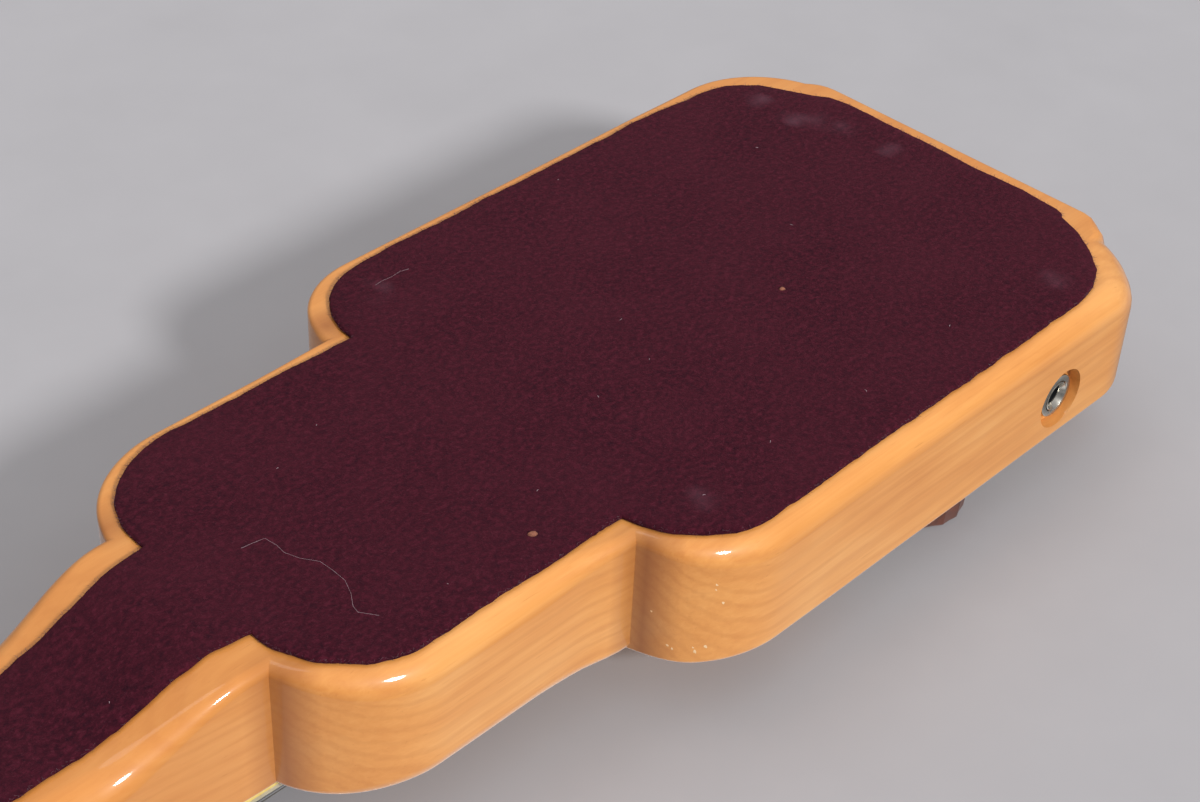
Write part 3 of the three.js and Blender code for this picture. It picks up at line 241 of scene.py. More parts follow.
def mottle(tree, coords, size, detail=3.0, roughness=0.55, distortion=0.0):
    """An uneven pattern whose lumps have a real size in millimetres."""
    space = add_node(tree, "Mapping", {"Vector": coords, "Scale": per_mm(*size)})
    return add_node(tree, "TexNoise", {
        "Vector": space.outputs["Vector"], "Scale": 1.0, "Detail": detail,
        "Roughness": roughness, "Distortion": distortion}).outputs["Fac"]


def layered(tree, colour, layers):
    """Colours laid over one another, each as a pattern goes from one value to another."""
    for pattern, low, high, share_at_low, share_at_high, over in layers:
        share = add_node(tree, "MapRange", (pattern, low, high, share_at_low, share_at_high))
        colour = add_node(tree, "Mix", {0: share.outputs["Result"], 6: colour, 7: over},
                          {"data_type": "RGBA"}).outputs[2]
    return colour


def make_maple():
    """Flat-sawn maple under thick clear lacquer that has aged to honey."""
    material, tree, coords = new_material("lacquered_maple")
    grain = add_node(tree, "ValToRGB", [mottle(tree, coords, (70, 1.7, 1.7), 5.0, 0.66, 0.5)],
                     stops=[(0.3, "#c58144"), (0.5, "#d08e4b"), (0.72, "#d99b58")])
    cloud = add_node(tree, "ValToRGB", [mottle(tree, coords, (48, 20, 20))],
                     stops=[(0.28, "#c67f3c"), (0.5, "#d5914b"), (0.72, "#e0a562")])
    wood = add_node(tree, "Mix", {0: 0.5, 6: grain.outputs["Color"], 7: cloud.outputs["Color"]},
                    {"data_type": "RGBA"}).outputs[2]
    # Growth rings round a heart beyond the playing side show as arcs on the bouts' ends
    heart = add_node(tree, "Mapping", {
        "Vector": coords, "Location": (0, -0.015, -0.12), "Scale": (0.12, 1, 1)})
    rings = add_node(tree, "TexWave", {
        "Vector": heart.outputs["Vector"], "Scale": 84.0, "Distortion": 5.0, "Detail": 4.0,
        "Detail Scale": 1.4, "Detail Roughness": 0.65},
        {"wave_type": "RINGS", "rings_direction": "X"}).outputs["Fac"]
    # Short pores and flecks, drawn a little longer than real so that they show
    pores = mottle(tree, coords, (9, 0.55, 0.55), 2.0, 0.5)
    layers = [(rings, 0.5, 1.0, 0.0, 0.17, "#a8622a"), (pores, 0.66, 0.78, 0.0, 0.35, "#a8672f")]
    # Painted shade: the wood is darkened within 10 mm of each crease where two walls meet
    folded = add_node(tree, "VectorMath", [coords], {"operation": "ABSOLUTE"}).outputs[0]
    folded = add_node(tree, "VectorMath", (folded, (1, 1, 0)), {"operation": "MULTIPLY"}).outputs[0]
    for x, y in CREASES:
        crease_shade_distance = add_node(tree, "VectorMath", (folded, ((1.3 - x) * MM, (y + 3.2) * MM, 0)),
                       {"operation": "DISTANCE"}).outputs["Value"]
        layers.append((crease_shade_distance, 0.0, 0.01, 0.75, 0.0, "#7c421c"))
    # The neck and head are made darker and more orange from the heel on. Painted shade: the tail and
    # the bass side, which face away from the main lamp, are made darker and more orange too
    place = add_node(tree, "SeparateXYZ", [coords]).outputs
    for axis, thin, thick, share in (
            ("X", -0.11, -0.06, 0.5), ("X", -0.372, -0.386, 0.35), ("Y", 0.045, 0.08, 0.35)):
        layers.append((place[axis], thin, thick, 0.0, share, "#b9702f"))
    # Lacquer rubbed by hand is never quite flat
    ripple = add_node(tree, "Bump", {
        "Height": mottle(tree, coords, (26, 16, 16), 2.0, 0.45), "Distance": 0.35 * MM,
        "Strength": 0.5})
    # Thick lacquer gives a wet edge to each highlight; the wood below stays soft
    surface(tree, {
        "Base Color": layered(tree, wood, layers), "Normal": ripple.outputs["Normal"],
        "Roughness": 0.45, "Specular IOR Level": 0.2, "Coat Weight": 0.75,
        "Coat Roughness": 0.08, "Coat IOR": 1.5})
    return material


def make_felt():
    """Pressed burgundy wool felt with a cloudy nap and flecks of lint."""
    material, tree, coords = new_material("burgundy_wool_felt")
    cloud = mottle(tree, coords, (38, 30, 30), 4.0, 0.6)
    thread = mottle(tree, coords, (0.7, 0.7, 0.7), 2.0, 0.6, 1.2)
    rubbed = add_node(tree, "Attribute", settings={"attribute_name": "rubbed"}).outputs["Fac"]
    nap = add_node(tree, "ValToRGB", [mottle(tree, coords, (1.9, 1.5, 1.5), 4.0, 0.7, 0.4)],
                   stops=[(0.3, "#210a15"), (0.5, "#350f1a"), (0.72, "#4b1826")])
    # Loose fibres catch the light as fine threads, and patches of the nap are rubbed pale
    colour = layered(tree, nap.outputs["Color"], (
        (cloud, 0.35, 0.7, 0.0, 0.35, "#431823"), (thread, 0.58, 0.74, 0.0, 0.3, "#5f2d3a"),
        (rubbed, 0.0, 1.0, 0.0, 1.0, "#6e4f5b")))
    pile = add_node(tree, "Bump", {"Height": thread, "Distance": 0.5 * MM, "Strength": 0.8})
    surface(tree, {
        "Base Color": colour, "Normal": pile.outputs["Normal"], "Roughness": 0.96,
        "Specular IOR Level": 0.05, "Sheen Weight": 0.12, "Sheen Roughness": 0.5,
        "Sheen Tint": "#a86a78"})
    return material


def make_fibre(name, code):
    """Loose wool or cotton strands: matt, with a soft edge of sheen."""
    material, tree, coords = new_material(name)
    tint = mottle(tree, coords, (1.5, 1.5, 1.5), 1.0)
    surface(tree, {
        "Base Color": layered(tree, code, [(tint, 0.3, 0.7, 0.0, 0.5, "#201014")]),
        "Roughness": 0.9, "Specular IOR Level": 0.2, "Sheen Weight": 0.3})
    return material


def make_cream():
    """Cast celluloid, aged from white to cream, with a deeper tone in patches."""
    material, tree, coords = new_material("aged_cream_celluloid")
    cloud = add_node(tree, "ValToRGB", [mottle(tree, coords, (9, 9, 9), 3.0, 0.6)],
                     stops=[(0.3, "#cfae55"), (0.55, "#e2c56c"), (0.75, "#ecd88c")])
    orange_peel = add_node(tree, "Bump", {
        "Height": mottle(tree, coords, (1.4, 1.4, 1.4)), "Distance": 0.05 * MM, "Strength": 0.4})
    surface(tree, {
        "Base Color": cloud.outputs["Color"], "Normal": orange_peel.outputs["Normal"],
        "Roughness": 0.28, "IOR": 1.5, "Coat Weight": 0.2, "Subsurface Weight": 0.08,
        "Subsurface Radius": (0.004, 0.003, 0.002), "Subsurface Scale": 0.5})
    return material


def make_board_face():
    """Black fretboard laminate whose cut lines and diamonds are filled with pale paint."""
    material, tree, coords = new_material("black_fretboard_laminate")
    black = add_node(tree, "ValToRGB", [mottle(tree, coords, (5, 5, 5), 4.0, 0.6)],
                     stops=[(0.3, "#131216"), (0.7, "#201e22")])
    pale = add_node(tree, "ValToRGB", [mottle(tree, coords, (4, 4, 4))],
                    stops=[(0.3, "#c9c1a4"), (0.7, "#e4dec8")])
    # The fill lies below the face, so height alone tells it from the black
    height = add_node(tree, "SeparateXYZ", [coords]).outputs["Z"]
    colour = layered(tree, black.outputs["Color"], [(
        height, (BOARD_TOP - 0.35) * MM, (BOARD_TOP - 0.3) * MM, 1.0, 0.0,
        pale.outputs["Color"])])
    scuffs = mottle(tree, coords, (14, 0.8, 2), 3.0, 0.7)
    worn = add_node(tree, "MapRange", (scuffs, 0.3, 0.75, 0.26, 0.46))
    surface(tree, {"Base Color": colour, "Roughness": worn.outputs["Result"], "IOR": 1.5})
    return material


def make_bone():
    """Polished bone with fine brown pores along its length."""
    material, tree, coords = new_material("polished_bone")
    pores = add_node(tree, "ValToRGB", [mottle(tree, coords, (0.5, 3.0, 0.5), 2.0, 0.6)],
                     stops=[(0.28, "#b9a67e"), (0.42, "#e2d8bd"), (0.7, "#efe8d4")])
    surface(tree, {
        "Base Color": pores.outputs["Color"], "Roughness": 0.32, "Subsurface Weight": 0.06,
        "Subsurface Radius": (0.003, 0.002, 0.0015), "Subsurface Scale": 0.5})
    return material


def make_nickel():
    """Nickel plating, once polished, now hazed by handling."""
    material, tree, coords = new_material("hazed_nickel_plate")
    haze = mottle(tree, coords, (11, 11, 11), 5.0, 0.65)
    colour = add_node(tree, "ValToRGB", [haze], stops=[
        (0.3, "#b4ada0"), (0.55, "#cac5ba"), (0.75, "#d6d2c9")])
    dulled = add_node(tree, "MapRange", (haze, 0.3, 0.75, 0.14, 0.34))
    # Hairline scratches, wider than real ones so that they show
    scratches = add_node(tree, "Bump", {
        "Height": mottle(tree, coords, (18, 0.35, 0.35), 2.0, 0.7, 0.3), "Distance": 0.02 * MM,
        "Strength": 0.3})
    surface(tree, {
        "Base Color": colour.outputs["Color"], "Roughness": dulled.outputs["Result"],
        "Normal": scratches.outputs["Normal"], "Metallic": 1.0})
    return material


def make_steel(name, tint, turn_mm=0.0):
    """Drawn steel wire and screws; a wound string also has ridges along its length."""
    material, tree, coords = new_material(name)
    grime = mottle(tree, coords, (6, 2, 2), 4.0, 0.6)
    colour = add_node(tree, "ValToRGB", [grime],
                      stops=[(0.3, "#7d7974"), (0.6, tint), (0.8, "#c6c3bd")])
    dulled = add_node(tree, "MapRange", (grime, 0.3, 0.8, 0.42, 0.24))
    inputs = {"Base Color": colour.outputs["Color"], "Roughness": dulled.outputs["Result"],
              "Metallic": 1.0}
    if turn_mm:
        # The wave's own scale gives it one ridge in each unit, and the mapping none across
        space = add_node(tree, "Mapping", {
            "Vector": coords, "Scale": per_mm(turn_mm, 1e4, 1e4)})
        ridges = add_node(tree, "TexWave", {
            "Vector": space.outputs["Vector"], "Scale": 0.31, "Distortion": 0.0},
            {"bands_direction": "X"})
        inputs["Normal"] = add_node(tree, "Bump", {
            "Height": ridges.outputs["Fac"], "Distance": 0.12 * MM,
            "Strength": 0.8}).outputs["Normal"]
    surface(tree, inputs)
    return material


def make_phenolic():
    """Moulded phenolic resin in dark reddish brown, with a faint swirl from the mould."""
    material, tree, coords = new_material("brown_phenolic")
    swirl = mottle(tree, coords, (6, 6, 9), 5.0, 0.6, 2.0)
    colour = add_node(tree, "ValToRGB", [swirl], stops=[
        (0.3, "#3a1b12"), (0.5, "#552a1b"), (0.72, "#6d3723")])
    handled = add_node(tree, "MapRange", (swirl, 0.3, 0.7, 0.34, 0.5))
    surface(tree, {"Base Color": colour.outputs["Color"], "Roughness": handled.outputs["Result"],
                   "IOR": 1.5})
    return material


def make_plain(name, dark, light, size, roughness, metallic=0.0, bump=0.05):
    """A finish with two close tones, for pieces that are mostly out of sight."""
    material, tree, coords = new_material(name)
    tone = mottle(tree, coords, (size, size, size), 4.0, 0.6)
    colour = add_node(tree, "ValToRGB", [tone], stops=[(0.3, dark), (0.7, light)])
    grain = add_node(tree, "Bump", {"Height": tone, "Distance": bump * MM, "Strength": 0.5})
    surface(tree, {"Base Color": colour.outputs["Color"], "Normal": grain.outputs["Normal"],
                   "Roughness": roughness, "Metallic": metallic})
    return material


def make_paper():
    """Seamless backdrop paper that shows only from its front, and blocks no lamp."""
    settings = bpy.context.scene.lap_steel_stage
    material, tree, coords = new_material("backdrop_paper")
    tooth = mottle(tree, coords, (60, 60, 60), 3.0, 0.6)
    paper = add_node(tree, "Mix", {0: 0.12, 6: (*settings.floor_colour, 1.0), 7: tooth},
                     {"data_type": "RGBA", "blend_type": "MULTIPLY"})
    shader = add_node(tree, "BsdfPrincipled", {
        "Base Color": paper.outputs[2], "Roughness": 0.9, "Specular IOR Level": 0.1})
    rays = add_node(tree, "LightPath").outputs["Is Camera Ray"]
    behind = add_node(tree, "NewGeometry").outputs["Backfacing"]
    front = add_node(tree, "Math", (1.0, behind), {"operation": "SUBTRACT"}).outputs[0]
    shown = add_node(tree, "Math", (rays, front), {"operation": "MULTIPLY"}).outputs[0]
    clear = add_node(tree, "BsdfTransparent").outputs[0]
    mix = add_node(tree, "MixShader", (shown, clear, shader.outputs["BSDF"]))
    add_node(tree, "OutputMaterial", [mix.outputs[0]])
    return material


MAKERS = {
    "maple": make_maple,
    "felt": make_felt,
    "fuzz": lambda: make_fibre("burgundy_wool_fibres", "#54293a"),
    "lint": lambda: make_fibre("pale_lint", "#9d838b"),
    "crumb": lambda: make_plain("brown_crumbs", "#5b3326", "#a0634a", 0.6, 0.8, 0, 0.2),
    "raw": lambda: make_plain("bare_chipped_maple", "#d3ad7d", "#e3c79f", 1, 0.7, 0, 0.1),
    "cream": make_cream,
    "board_face": make_board_face,
    "bone": make_bone,
    "nickel": make_nickel,
    "steel": lambda: make_steel("worn_steel", "#a3a09b"),
    "wound": lambda: make_steel("wound_string_wire", "#a9a59c", 0.55),
    "phenolic": make_phenolic,
    "black_plastic": lambda: make_plain("moulded_black", "#131315", "#222225", 3, 0.42),
    "copper": lambda: make_plain("enamelled_copper_wire", "#7c3319", "#b45a30", 1, 0.35, 0.9),
    "magnet": lambda: make_plain("sintered_magnet", "#3b3c40", "#5d5e63", 2, 0.5, 0.8),
    "fibre": lambda: make_plain("waxed_fibre_board", "#553419", "#7d5532", 2, 0.6),
    "cloth": lambda: make_plain("waxed_cloth_braid", "#282319", "#4d4534", 0.8, 0.85, 0, 0.2),
    "brass": lambda: make_plain("string_ball_brass", "#8f6a2c", "#c29a4c", 2, 0.3, 1.0),
    "pointer": lambda: make_plain("ivory_paint", "#d6cfba", "#ece7d8", 2, 0.5),
    "paper": make_paper,
}
made = {}


def material_for(name):
    """Each material is made once, when a piece first needs it."""
    if name not in made:
        made[name] = MAKERS[name]()
    return made[name]


# Mesh helpers. Points are in millimetres and become metres here.
def build_mesh(name, points, faces, material, angle=35.0):
    """A mesh object with smooth faces and sharp edges past an angle."""
    mesh = bpy.data.meshes.new(name)
    mesh.from_pydata([Vector(p) * MM for p in points], [], faces)
    mesh.validate()
    mesh.polygons.foreach_set("use_smooth", [True] * len(mesh.polygons))
    mesh.set_sharp_from_angle(angle=math.radians(angle))
    mesh.materials.append(material_for(material))
    piece = bpy.data.objects.new(name, mesh)
    bpy.context.scene.collection.objects.link(piece)
    return piece


def finish_piece(piece, nodes=(), body="root"):
    """The piece rides on a body and may stand for CAD nodes, which are hidden."""
    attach(piece, body)
    if nodes:
        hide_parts(*nodes)
    return piece


def add_piece(name, part, material, nodes=(), body="root", angle=30.0):
    """Builds a piece from its points and faces and finishes it."""
    return finish_piece(build_mesh(name, *part, material, angle), nodes, body)


def weigh_normals(piece):
    """Keeps big flat faces flat where they meet a rounded edge."""
    modifier = piece.modifiers.new("even_shading", "WEIGHTED_NORMAL")
    modifier.keep_sharp = True


def merge_parts(parts):
    """Several lists of points and faces as one."""
    points, faces = [], []
    for some_points, some_faces in parts:
        start = len(points)
        points.extend(some_points)
        faces.extend([start + i for i in face] for face in some_faces)
    return points, faces


def number_rings(rings, start=0):
    """The numbers of the points in each ring, counted on from a start."""
    count = len(rings[0])
    return [list(range(start + r * count, start + (r + 1) * count)) for r in range(len(rings))]


def walls(loops):
    """Faces between each loop of point numbers and the next."""
    return [list(face) for low, high in zip(loops, loops[1:])
            for face in zip(low, low[1:] + low[:1], high[1:] + high[:1], high)]


def stack_rings(rings):
    """Faces between rings of equal count, with a face over the first and the last ring."""
    loops = number_rings(rings)
    return [p for ring in rings for p in ring], [*walls(loops), loops[0][::-1], loops[-1]]


def circle(centre, across, other, radius, count):
    """Points round a centre, in the plane of two directions."""
    turns = [FULL_TURN * i / count for i in range(count)]
    return [centre + across * radius * math.cos(t) + other * radius * math.sin(t) for t in turns]


def turned(profile, origin, axis, segments=48):
    """A turned form from pairs of radius and height along an axis; the ends close on the axis."""
    axis = Vector(axis).normalized()
    across = axis.orthogonal().normalized()
    other = axis.cross(across)
    return stack_rings([
        circle(Vector(origin) + axis * height, across, other, radius, segments)
        for radius, height in profile])


def turned_ring(profile, origin, axis, segments=64):
    """A turned form whose section is a closed loop, such as a washer."""
    points, (*faces, first, last) = turned(profile, origin, axis, segments)
    return points, faces + walls([last, first[::-1]])


def swept(path, radii, sides=12):
    """A round tube along a path, one radius for each point."""
    path = [Vector(p) for p in path]
    radii = [radii] * len(path) if isinstance(radii, float) else radii
    normal = None
    rings = []
    for i, point in enumerate(path):
        before, after = path[max(i - 1, 0)], path[min(i + 1, len(path) - 1)]
        tangent = (after - before).normalized()
        if normal is None:
            normal = tangent.orthogonal().normalized()
        normal = (normal - tangent * normal.dot(tangent)).normalized()
        rings.append(circle(point, normal, tangent.cross(normal), radii[i], sides))
    return stack_rings(rings)


def box_part(x0, x1, y0, y1, z0, z1):
    """The points and faces of a plain block."""
    ring = [(x0, y0), (x1, y0), (x1, y1), (x0, y1)]
    return stack_rings([[Vector((x, y, z)) for x, y in ring] for z in (z0, z1)])


def boolean(target, others, operation):
    """Joins or cuts a piece with others, which are used up."""
    group = bpy.data.collections.new("tools")
    for other in others:
        group.objects.link(other)
    modifier = target.modifiers.new("tools", "BOOLEAN")
    modifier.operation = operation
    modifier.operand_type = "COLLECTION"
    modifier.collection = group
    modifier.solver = "EXACT"
    depsgraph = bpy.context.evaluated_depsgraph_get()
    result = bpy.data.meshes.new_from_object(target.evaluated_get(depsgraph))
    target.modifiers.clear()
    target.data = result
    for other in others:
        bpy.data.objects.remove(other)
    bpy.data.collections.remove(group)


def arc(centre, radius, start, end, count):
    """Points of an arc in the plan; angles in degrees."""
    turn = [math.radians(start + (end - start) * i / count) for i in range(count + 1)]
    return [(centre[0] + radius * math.cos(t), centre[1] + radius * math.sin(t)) for t in turn]


def spaced(points, step):
    """The closed outline with every long edge cut into steps."""
    result = []
    for a, b in zip(points, points[1:] + points[:1]):
        length = math.dist(a, b)
        if length < 1e-6:
            continue
        count = max(1, round(length / step))
        result += [(a[0] + (b[0] - a[0]) * i / count, a[1] + (b[1] - a[1]) * i / count)
                   for i in range(count)]
    return result


def outward(points):
    """The outward normal at each point of an outline that runs anticlockwise."""
    normals = []
    for i, _ in enumerate(points):
        a, b = points[i - 1], points[(i + 1) % len(points)]
        direction = Vector((b[1] - a[1], a[0] - b[0]))
        normals.append(direction.normalized() if direction.length else Vector((1, 0)))
    return normals


def crease_share(x, y):
    """How round an edge is, as a share: sandpaper never reached into the four notches."""
    near = min(math.dist((x, abs(y)), crease) for crease in CREASES)
    return CREASE_SHARE + (1 - CREASE_SHARE) * smooth(near / CREASE_REACH)


def rounded_prism(outline, z0, z1, radii, unevenness=0.0, seed=0.0, flare=0.0, belly=0.0,
                  worn=0.0):
    """An outline raised from z0 to z1 whose rounded edges vary as if made by hand.

    The flare moves the treble side's wall out beside the first crease, the belly adds to the
    front edge's radius where the wall runs straight, and a worn outline has the back edge
    rounded further at its corner between the tail and the treble side.
    """
    normals = outward(outline)
    backs, fronts, swells = [], [], []
    for (x, y), n in zip(outline, normals):
        spot = Vector((x / EDGE_WANDER + seed, y / EDGE_WANDER, seed))
        share = crease_share(x, y) * (1 + unevenness * noise.noise(spot))
        # The treble side's back edge is rounded well over, the bass side and the tail hardly
        worked = smooth(0.35 * n.x - n.y + 0.35)
        worked += worn * max(-n.x, 0) * smooth((-y - WORN_START) / WORN_RUN)
        backs.append(radii[0] * share * (BASS_SHARE + (1 - BASS_SHARE) * worked))
        fronts.append(radii[1] * share * (1 + belly * (1 - abs(n.x))))
        near = smooth(math.dist((x, abs(y)), CREASES[0]) / 18)
        swells.append(unevenness * noise.noise(spot * 0.7 + Vector((9, 3, 1)))
                      + (flare * (1 - near) if y < 0 else 0))
    rings = []
    turns = [QUARTER_TURN * i / EDGE_STEPS for i in range(EDGE_STEPS + 1)]
    levels = [(1 - math.sin(t), 1 - math.cos(t)) for t in turns]
    for z, way, sizes, order in ((z0, 1, backs, levels), (z1, -1, fronts, levels[::-1])):
        for inset, rise in order:
            rings.append([
                Vector((x - n.x * (inset * r - s), y - n.y * (inset * r - s),
                        z + way * rise * r))
                for (x, y), n, r, s in zip(outline, normals, sizes, swells)])
    return stack_rings(rings)


# Wood
def lower_outline():
    """The lower bout with its stepped tail, anticlockwise."""
    # The tail stands out in a low worn step that ends part way round each corner
    step = ((0, 50), (0.3, 53), (1.2, 55.8), (2.5, 58))
    points = [(along(x), -y) for x, y in step]
    points += arc((along(TAIL_STEP + TREBLE_CORNER), TREBLE_CORNER - LOWER_HALF),
                  TREBLE_CORNER, 186, 270, 28)
    points += arc((along(LOWER_END - LOWER_ARC), LOWER_ARC - LOWER_HALF), LOWER_ARC, -90, 0, 30)
    points += arc((along(LOWER_END - LOWER_BASS_ARC), LOWER_HALF - LOWER_BASS_ARC),
                  LOWER_BASS_ARC, 0, 90, 30)
    points += arc((along(TAIL_STEP + BASS_CORNER), LOWER_HALF - BASS_CORNER),
                  BASS_CORNER, 90, 162, 26)
    points += [(along(x), y) for x, y in ((3.6, 59.4), *step[::-1])]
    return spaced(points, OUTLINE_STEP)


def middle_outline():
    """The middle bout, which starts inside the lower one."""
    start = along(LOWER_END / 2)
    arc_x = along(MIDDLE_END - MIDDLE_ARC)
    points = [(start, -MIDDLE_HALF)]
    points += arc((arc_x, MIDDLE_ARC - MIDDLE_HALF), MIDDLE_ARC, -90, 0, 30)
    points += arc((arc_x, MIDDLE_HALF - MIDDLE_ARC), MIDDLE_ARC, 0, 90, 30)
    points.append((start, MIDDLE_HALF))
    return spaced(points, OUTLINE_STEP)


def bezier(a, b, c, d, count):
    """Points of a cubic curve between a and d, without the last one."""
    result = []
    for i in range(count):
        t = i / count
        u = 1 - t
        weights = (u ** 3, 3 * u * u * t, 3 * u * t * t, t ** 3)
        result.append(tuple(sum(w * p[k] for w, p in zip(weights, (a, b, c, d)))
                            for k in (0, 1)))
    return result


def quadratic(a, b, c, count):
    """Points of a quadratic curve between a and c, without the last one."""
    first = tuple(a[k] + 2 / 3 * (b[k] - a[k]) for k in (0, 1))
    second = tuple(c[k] + 2 / 3 * (b[k] - c[k]) for k in (0, 1))
    return bezier(a, first, second, c, count)


def head_outline():
    """The headstock: shoulders out from the neck, a slight taper and a blunt tip."""
    start, bend, shoulder = (along(NUT + x) for x in (HEAD_START, HEAD_BEND, HEAD_SHOULDER))
    corner, tip = along(OVERALL_LENGTH - HEAD_TIP_ROUND), along(OVERALL_LENGTH)
    blunt = HEAD_TIP_ROUND - HEAD_TIP_HALF
    lower = bezier((start, -HEAD_START_HALF), (bend, -HEAD_START_HALF), (bend, -HEAD_HALF),
                   (shoulder, -HEAD_HALF), 14)
    lower.append((shoulder, -HEAD_HALF))
    lower += quadratic((corner, -HEAD_TIP_HALF), (tip, -HEAD_TIP_HALF), (tip, blunt), 12)
    lower.append((tip, blunt))
    return spaced(lower + [(x, -y) for x, y in reversed(lower)], OUTLINE_STEP)


def neck_part():
    """The neck, lofted from rounded sections whose back rises along the heel."""
    slope_start, slope_run, corner_steps = NUT + HEAD_START, 20.0, 9
    # It starts inside the middle bout, and has its closest sections along the heel
    ends = (270.0, MIDDLE_END, MIDDLE_END + 45.0, NUT - slope_run, slope_start,
            slope_start + slope_run)
    stations = [a + (b - a) * i / count
                for a, b, count in zip(ends, ends[1:], (1, 24, 12, 8, 8)) for i in range(count)]
    rings = []
    for station in (*stations, ends[-1]):
        slope = smooth((station - slope_start) / slope_run)
        rising = smooth((station - NUT + slope_run) / (2 * slope_run))
        low = WOOD_BACK + heel_rise(station) + rising * (HEAD_BACK - WOOD_BACK - HEEL_RISE)
        high = WOOD_FRONT - 8 * slope
        half = neck_half(min(station, NUT))
        back = 3.0 + 6.5 * smooth((station - MIDDLE_END) / 60)
        ring = []
        for side, level, radius, upward, quarter in (
                (1, low, back, -1, 0), (1, high, 1.2, 1, 1), (-1, high, 1.2, 1, 2),
                (-1, low, back, -1, 3)):
            for i in range(corner_steps + 1):
                angle = QUARTER_TURN * (quarter - 1 + i / corner_steps)
                ring.append(Vector((
                    along(station), side * (half - radius) + radius * math.cos(angle),
                    level - upward * radius + radius * math.sin(angle))))
        rings.append(ring)
    points, faces = stack_rings(rings)
    return points, [face[::-1] for face in faces]


def screw_spots():
    """Where the screws in the body go, with the height of their seat and the CAD node."""
    return [
        (along(SADDLE + 7.5), 36.0, 45.3, "bridge_screw_1"),
        (along(SADDLE + 7.5), -36.0, 45.3, "bridge_screw_2"),
        (along(PICKUP), 41.6, 43.7, "pickup_screw_1"),
        (along(PICKUP), -41.6, 43.7, "pickup_screw_2"),
        (along(CONTROL_SPAN[0] - 6), CONTROL_Y, 43.8, "control_plate_screw_1"),
        (along(CONTROL_SPAN[1] + 6), CONTROL_Y, 43.8, "control_plate_screw_2"),
    ]


def machine_spots():
    """Number, side, X and Y of each tuning machine's post."""
    return [
        (3 * s + i + 1, side, along(FIRST_POST + POST_PITCH * i), side * POST_SIDE)
        for s, side in enumerate((1, -1)) for i in range(3)]


class LapSteelBody(bpy.types.PropertyGroup):
    """Sizes of the wood and the felt."""
    back_edge_radius: bpy.props.FloatProperty(
        name="Back edge radius", description="Radius of the rounded edges beside the felt",
        default=0.0078, unit="LENGTH", subtype="DISTANCE")
    front_edge_radius: bpy.props.FloatProperty(
        name="Front edge radius", description="Radius of the rounded edges of the playing side",
        default=0.0022, unit="LENGTH", subtype="DISTANCE")
    unevenness: bpy.props.FloatProperty(
        name="Unevenness", description="How much the hand-rounded edge varies, as a share",
        default=0.16, subtype="FACTOR")
    felt_thickness: bpy.props.FloatProperty(
        name="Felt thickness", description="Thickness of the felt on the back",
        default=0.0017, unit="LENGTH", subtype="DISTANCE")
    felt_raggedness: bpy.props.FloatProperty(
        name="Felt raggedness", description="How far the cut edge of the felt wanders",
        default=0.0005, unit="LENGTH", subtype="DISTANCE")


class LapSteelStage(bpy.types.PropertyGroup):
    """Colours and light of the stage."""
    floor_colour: bpy.props.FloatVectorProperty(
        name="Floor colour", description="Colour of the backdrop paper", size=3,
        default=tuple(linear("#a4a2a5")[:3]), subtype="COLOR")
    key_strength: bpy.props.FloatProperty(
        name="Key strength", description="Strength of the main lamp", default=2.75)
    world_strength: bpy.props.FloatProperty(
        name="World strength", description="Strength of the even light all round",
        default=0.8)


